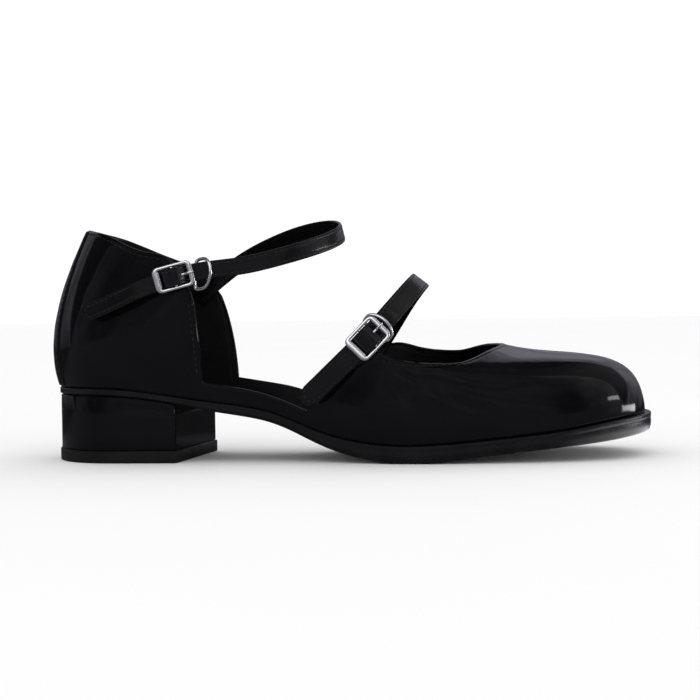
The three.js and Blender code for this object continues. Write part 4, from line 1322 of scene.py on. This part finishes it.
# ---------------------------------------------------------------- floor and light
LIGHTS = [
    # name, place in metres, aims at, size, power in watts, shines on the metal only
    ("toe_window", (1.15, -0.26, 0.22), (0.19, -0.01, 0.03), (0.26, 0.08), 0.5, False),
    ("low_strip", (1.20, 0.12, 0.045), (0.20, -0.01, 0.014), (0.50, 0.07), 1.1, False),
    ("metal_key", (-0.20, -1.00, 0.75), (0.06, -0.04, 0.06), (1.5, 1.1), 6.0, True),
]


def build_light(name, place, target, size, power, metal_only):
    data = bpy.data.lights.new(name, "AREA")
    data.shape = "RECTANGLE"
    data.size, data.size_y = size
    data.energy = power
    light = bpy.data.objects.new(name, data)
    away = unit(np.array(place) - np.array(target))
    side = unit(np.cross((0, 0, 1.0), away))
    stand(light, side, np.cross(away, side), away, place)
    light.visible_camera = False
    if metal_only:
        metal = bpy.data.collections.new(f"{name}_shines_on")
        for piece in bpy.data.objects:
            if piece.type == "MESH" and NICKEL.name in piece.data.materials:
                metal.objects.link(piece)
        light.light_linking.receiver_collection = metal


FLOOR = {
    "radius": 12.0,
    "under": 0.0001,
    # Painted reflection: the floor's colour as the shoe mirrors it, dim and darker behind the shoe.
    "painted_reflection_near": (0.18, 0.175, 0.19),
    "painted_reflection_behind": (0.035, 0.034, 0.037),
    "near_y": -0.02,
    "behind_y": 0.10,
    # Painted highlight: a patch in front of the toe that shines in reflections only, though no lamp is
    # there.
    "painted_glow_place": (0.255, -0.01, 0.0),
    "painted_glow_reach": (0.03, 0.075),
    "bright": 3.0,
}


def build_floor():
    """A pale floor. Mirrored in the shoe it shows a painted reflection: dim, darker behind the shoe,
    and one patch in front of the toe that lights up in reflections only, a painted highlight on the sole's
    toe."""
    mesh = bpy.data.meshes.new("floor")
    angles = np.linspace(0, 2 * math.pi, 96, endpoint=False)
    ring = [(FLOOR["radius"] * math.cos(a), FLOOR["radius"] * math.sin(a), -FLOOR["under"]) for a in angles]
    mesh.from_pydata(ring, [], [tuple(range(len(ring)))])
    nodes = Nodes("pale_floor")
    colour = nodes.colours(nodes.noise(3.0), (0.93, 0.93, 0.93), (0.94, 0.94, 0.94))
    roughness = nodes.spread(nodes.noise(6.0), 0.85, 0.95)
    nodes.finish(colour, roughness, nodes.noise(300.0), 0.02, specular_ior_level=0.05)
    # Painted reflection: glossy rays see a dim colour, darker behind the shoe, instead of the pale floor.
    y = nodes.node("ShaderNodeSeparateXYZ", {0: nodes.place}).outputs["Y"]
    behind = nodes.spread(y, 0, 1, FLOOR["near_y"], FLOOR["behind_y"])
    dim = nodes.colours(behind, FLOOR["painted_reflection_near"], FLOOR["painted_reflection_behind"], 0, 1)
    mirrored = nodes.node("ShaderNodeBsdfDiffuse", {"Color": dim})
    # Painted highlight: an emission patch in front of the toe, seen only in reflections, lights the sole's
    # toe edge.
    ends = {0: nodes.place, 1: FLOOR["painted_glow_place"]}
    away = nodes.node("ShaderNodeVectorMath", ends, operation="DISTANCE").outputs["Value"]
    bright = nodes.spread(away, FLOOR["bright"], 0, *FLOOR["painted_glow_reach"])
    glow = nodes.node("ShaderNodeEmission", {"Color": (0.98, 0.96, 1.0, 1), "Strength": bright})
    both = nodes.node("ShaderNodeAddShader", {0: mirrored.outputs[0], 1: glow.outputs[0]})
    glossy = nodes.node("ShaderNodeLightPath").outputs["Is Glossy Ray"]
    mix = nodes.node("ShaderNodeMixShader", {0: glossy, 1: nodes.shader.outputs[0], 2: both.outputs[0]})
    nodes.tree.links.new(mix.outputs[0], nodes.tree.nodes["Material Output"].inputs["Surface"])
    mesh.materials.append(nodes.material)
    floor = bpy.data.objects.new("floor", mesh)
    bpy.context.scene.collection.objects.link(floor)
    floor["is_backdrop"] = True


# Brightness of the room from the front horizon (0) over the top (0.5) to the back horizon (1).
ROOM = [(0.0, 0.27), (0.37, 0.28), (0.39, 0.38), (0.402, 0.38), (0.415, 0.03), (0.73, 0.035), (0.76, 0.75),
        (0.84, 0.46), (0.92, 0.32), (1.0, 0.14)]
# The room's share of brightness from straight ahead of the toe (0 and 1) through the front (0.25).
ROUND = [(0.0, 1.6), (0.10, 1.15), (0.125, 0.25), (0.15, 0.25), (0.175, 1.0), (0.30, 0.95), (0.345, 0.3),
         (0.39, 0.3), (0.43, 0.7), (0.60, 0.6), (1.0, 1.6)]


EYE_WHITE = 1.06
# Seen in the shoe, the room is brighter where the product of the direction's x and z is high.
TOE_ROOM = {"start": 0.18, "end": 0.42, "bright": 0.22}


def build_world():
    """White and even, but a room with a dark top where the shoe mirrors it."""
    world = bpy.data.worlds.new("studio")
    bpy.context.scene.world = world
    world.use_nodes = True
    tree = world.node_tree
    tree.nodes.clear()

    def node(kind, inputs=None, **settings):
        return add_node(tree, kind, inputs, **settings).outputs[0]

    def ramp(value, stops):
        made = add_node(tree, "ShaderNodeValToRGB", {"Fac": value})
        for position, _ in stops[2:]:
            made.color_ramp.elements.new(position)
        for element, (position, bright) in zip(made.color_ramp.elements, stops):
            element.position = position
            element.color = (bright * 0.98, bright * 0.96, bright * 1.04, 1)
        return made.outputs["Color"]

    direction = add_node(tree, "ShaderNodeTexCoord").outputs["Generated"]
    x, y, z = add_node(tree, "ShaderNodeSeparateXYZ", {0: direction}).outputs
    front = node("ShaderNodeMath", {0: y, 1: -1.0}, operation="MULTIPLY")
    turn = node("ShaderNodeMath", {0: z, 1: front}, operation="ARCTAN2")
    over = node("ShaderNodeMath", {0: turn, 1: math.pi}, operation="DIVIDE")
    side = node("ShaderNodeMath", {0: front, 1: x}, operation="ARCTAN2")
    half = node("ShaderNodeMath", {0: side, 1: 2 * math.pi}, operation="DIVIDE")
    round_ = node("ShaderNodeMath", {0: half, 1: 1.0, 2: 0.0}, operation="WRAP")
    cloud = node("ShaderNodeTexNoise", {"Vector": direction, "Scale": 5.0, "Detail": 3.0})
    cloudy = node("ShaderNodeMapRange", {"Value": cloud, "From Min": 0.35, "From Max": 0.65, "To Min": 0.55,
                                         "To Max": 1.3})
    room = node("ShaderNodeVectorMath", {0: ramp(over, ROOM), 1: ramp(round_, ROUND)}, operation="MULTIPLY")
    room = node("ShaderNodeVectorMath", {0: room, "Scale": cloudy}, operation="SCALE")
    toe_high = node("ShaderNodeMath", {0: x, 1: z}, operation="MULTIPLY")
    toe_side = node("ShaderNodeMapRange", {"Value": toe_high, "From Min": TOE_ROOM["start"],
                                           "From Max": TOE_ROOM["end"], "To Min": 0.0,
                                           "To Max": TOE_ROOM["bright"]})
    room = node("ShaderNodeVectorMath", {0: room, 1: toe_side}, operation="ADD")
    mirrored = node("ShaderNodeBackground", {"Color": room})
    white = node("ShaderNodeBackground", {"Color": (1, 1, 1, 1), "Strength": EYE_WHITE})
    glossy = add_node(tree, "ShaderNodeLightPath").outputs["Is Glossy Ray"]
    mixed = node("ShaderNodeMixShader", {0: glossy, 1: white, 2: mirrored})
    add_node(tree, "ShaderNodeOutputWorld", {"Surface": mixed})


build_camera()
build_floor()
build_world()
for row in LIGHTS:
    build_light(*row)
bpy.context.scene.view_settings.view_transform = "Standard"


def corners(box):
    return [[float(value) for value in corner] for corner in box]


{"cad": corners(cad_box), "visual": corners(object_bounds())}
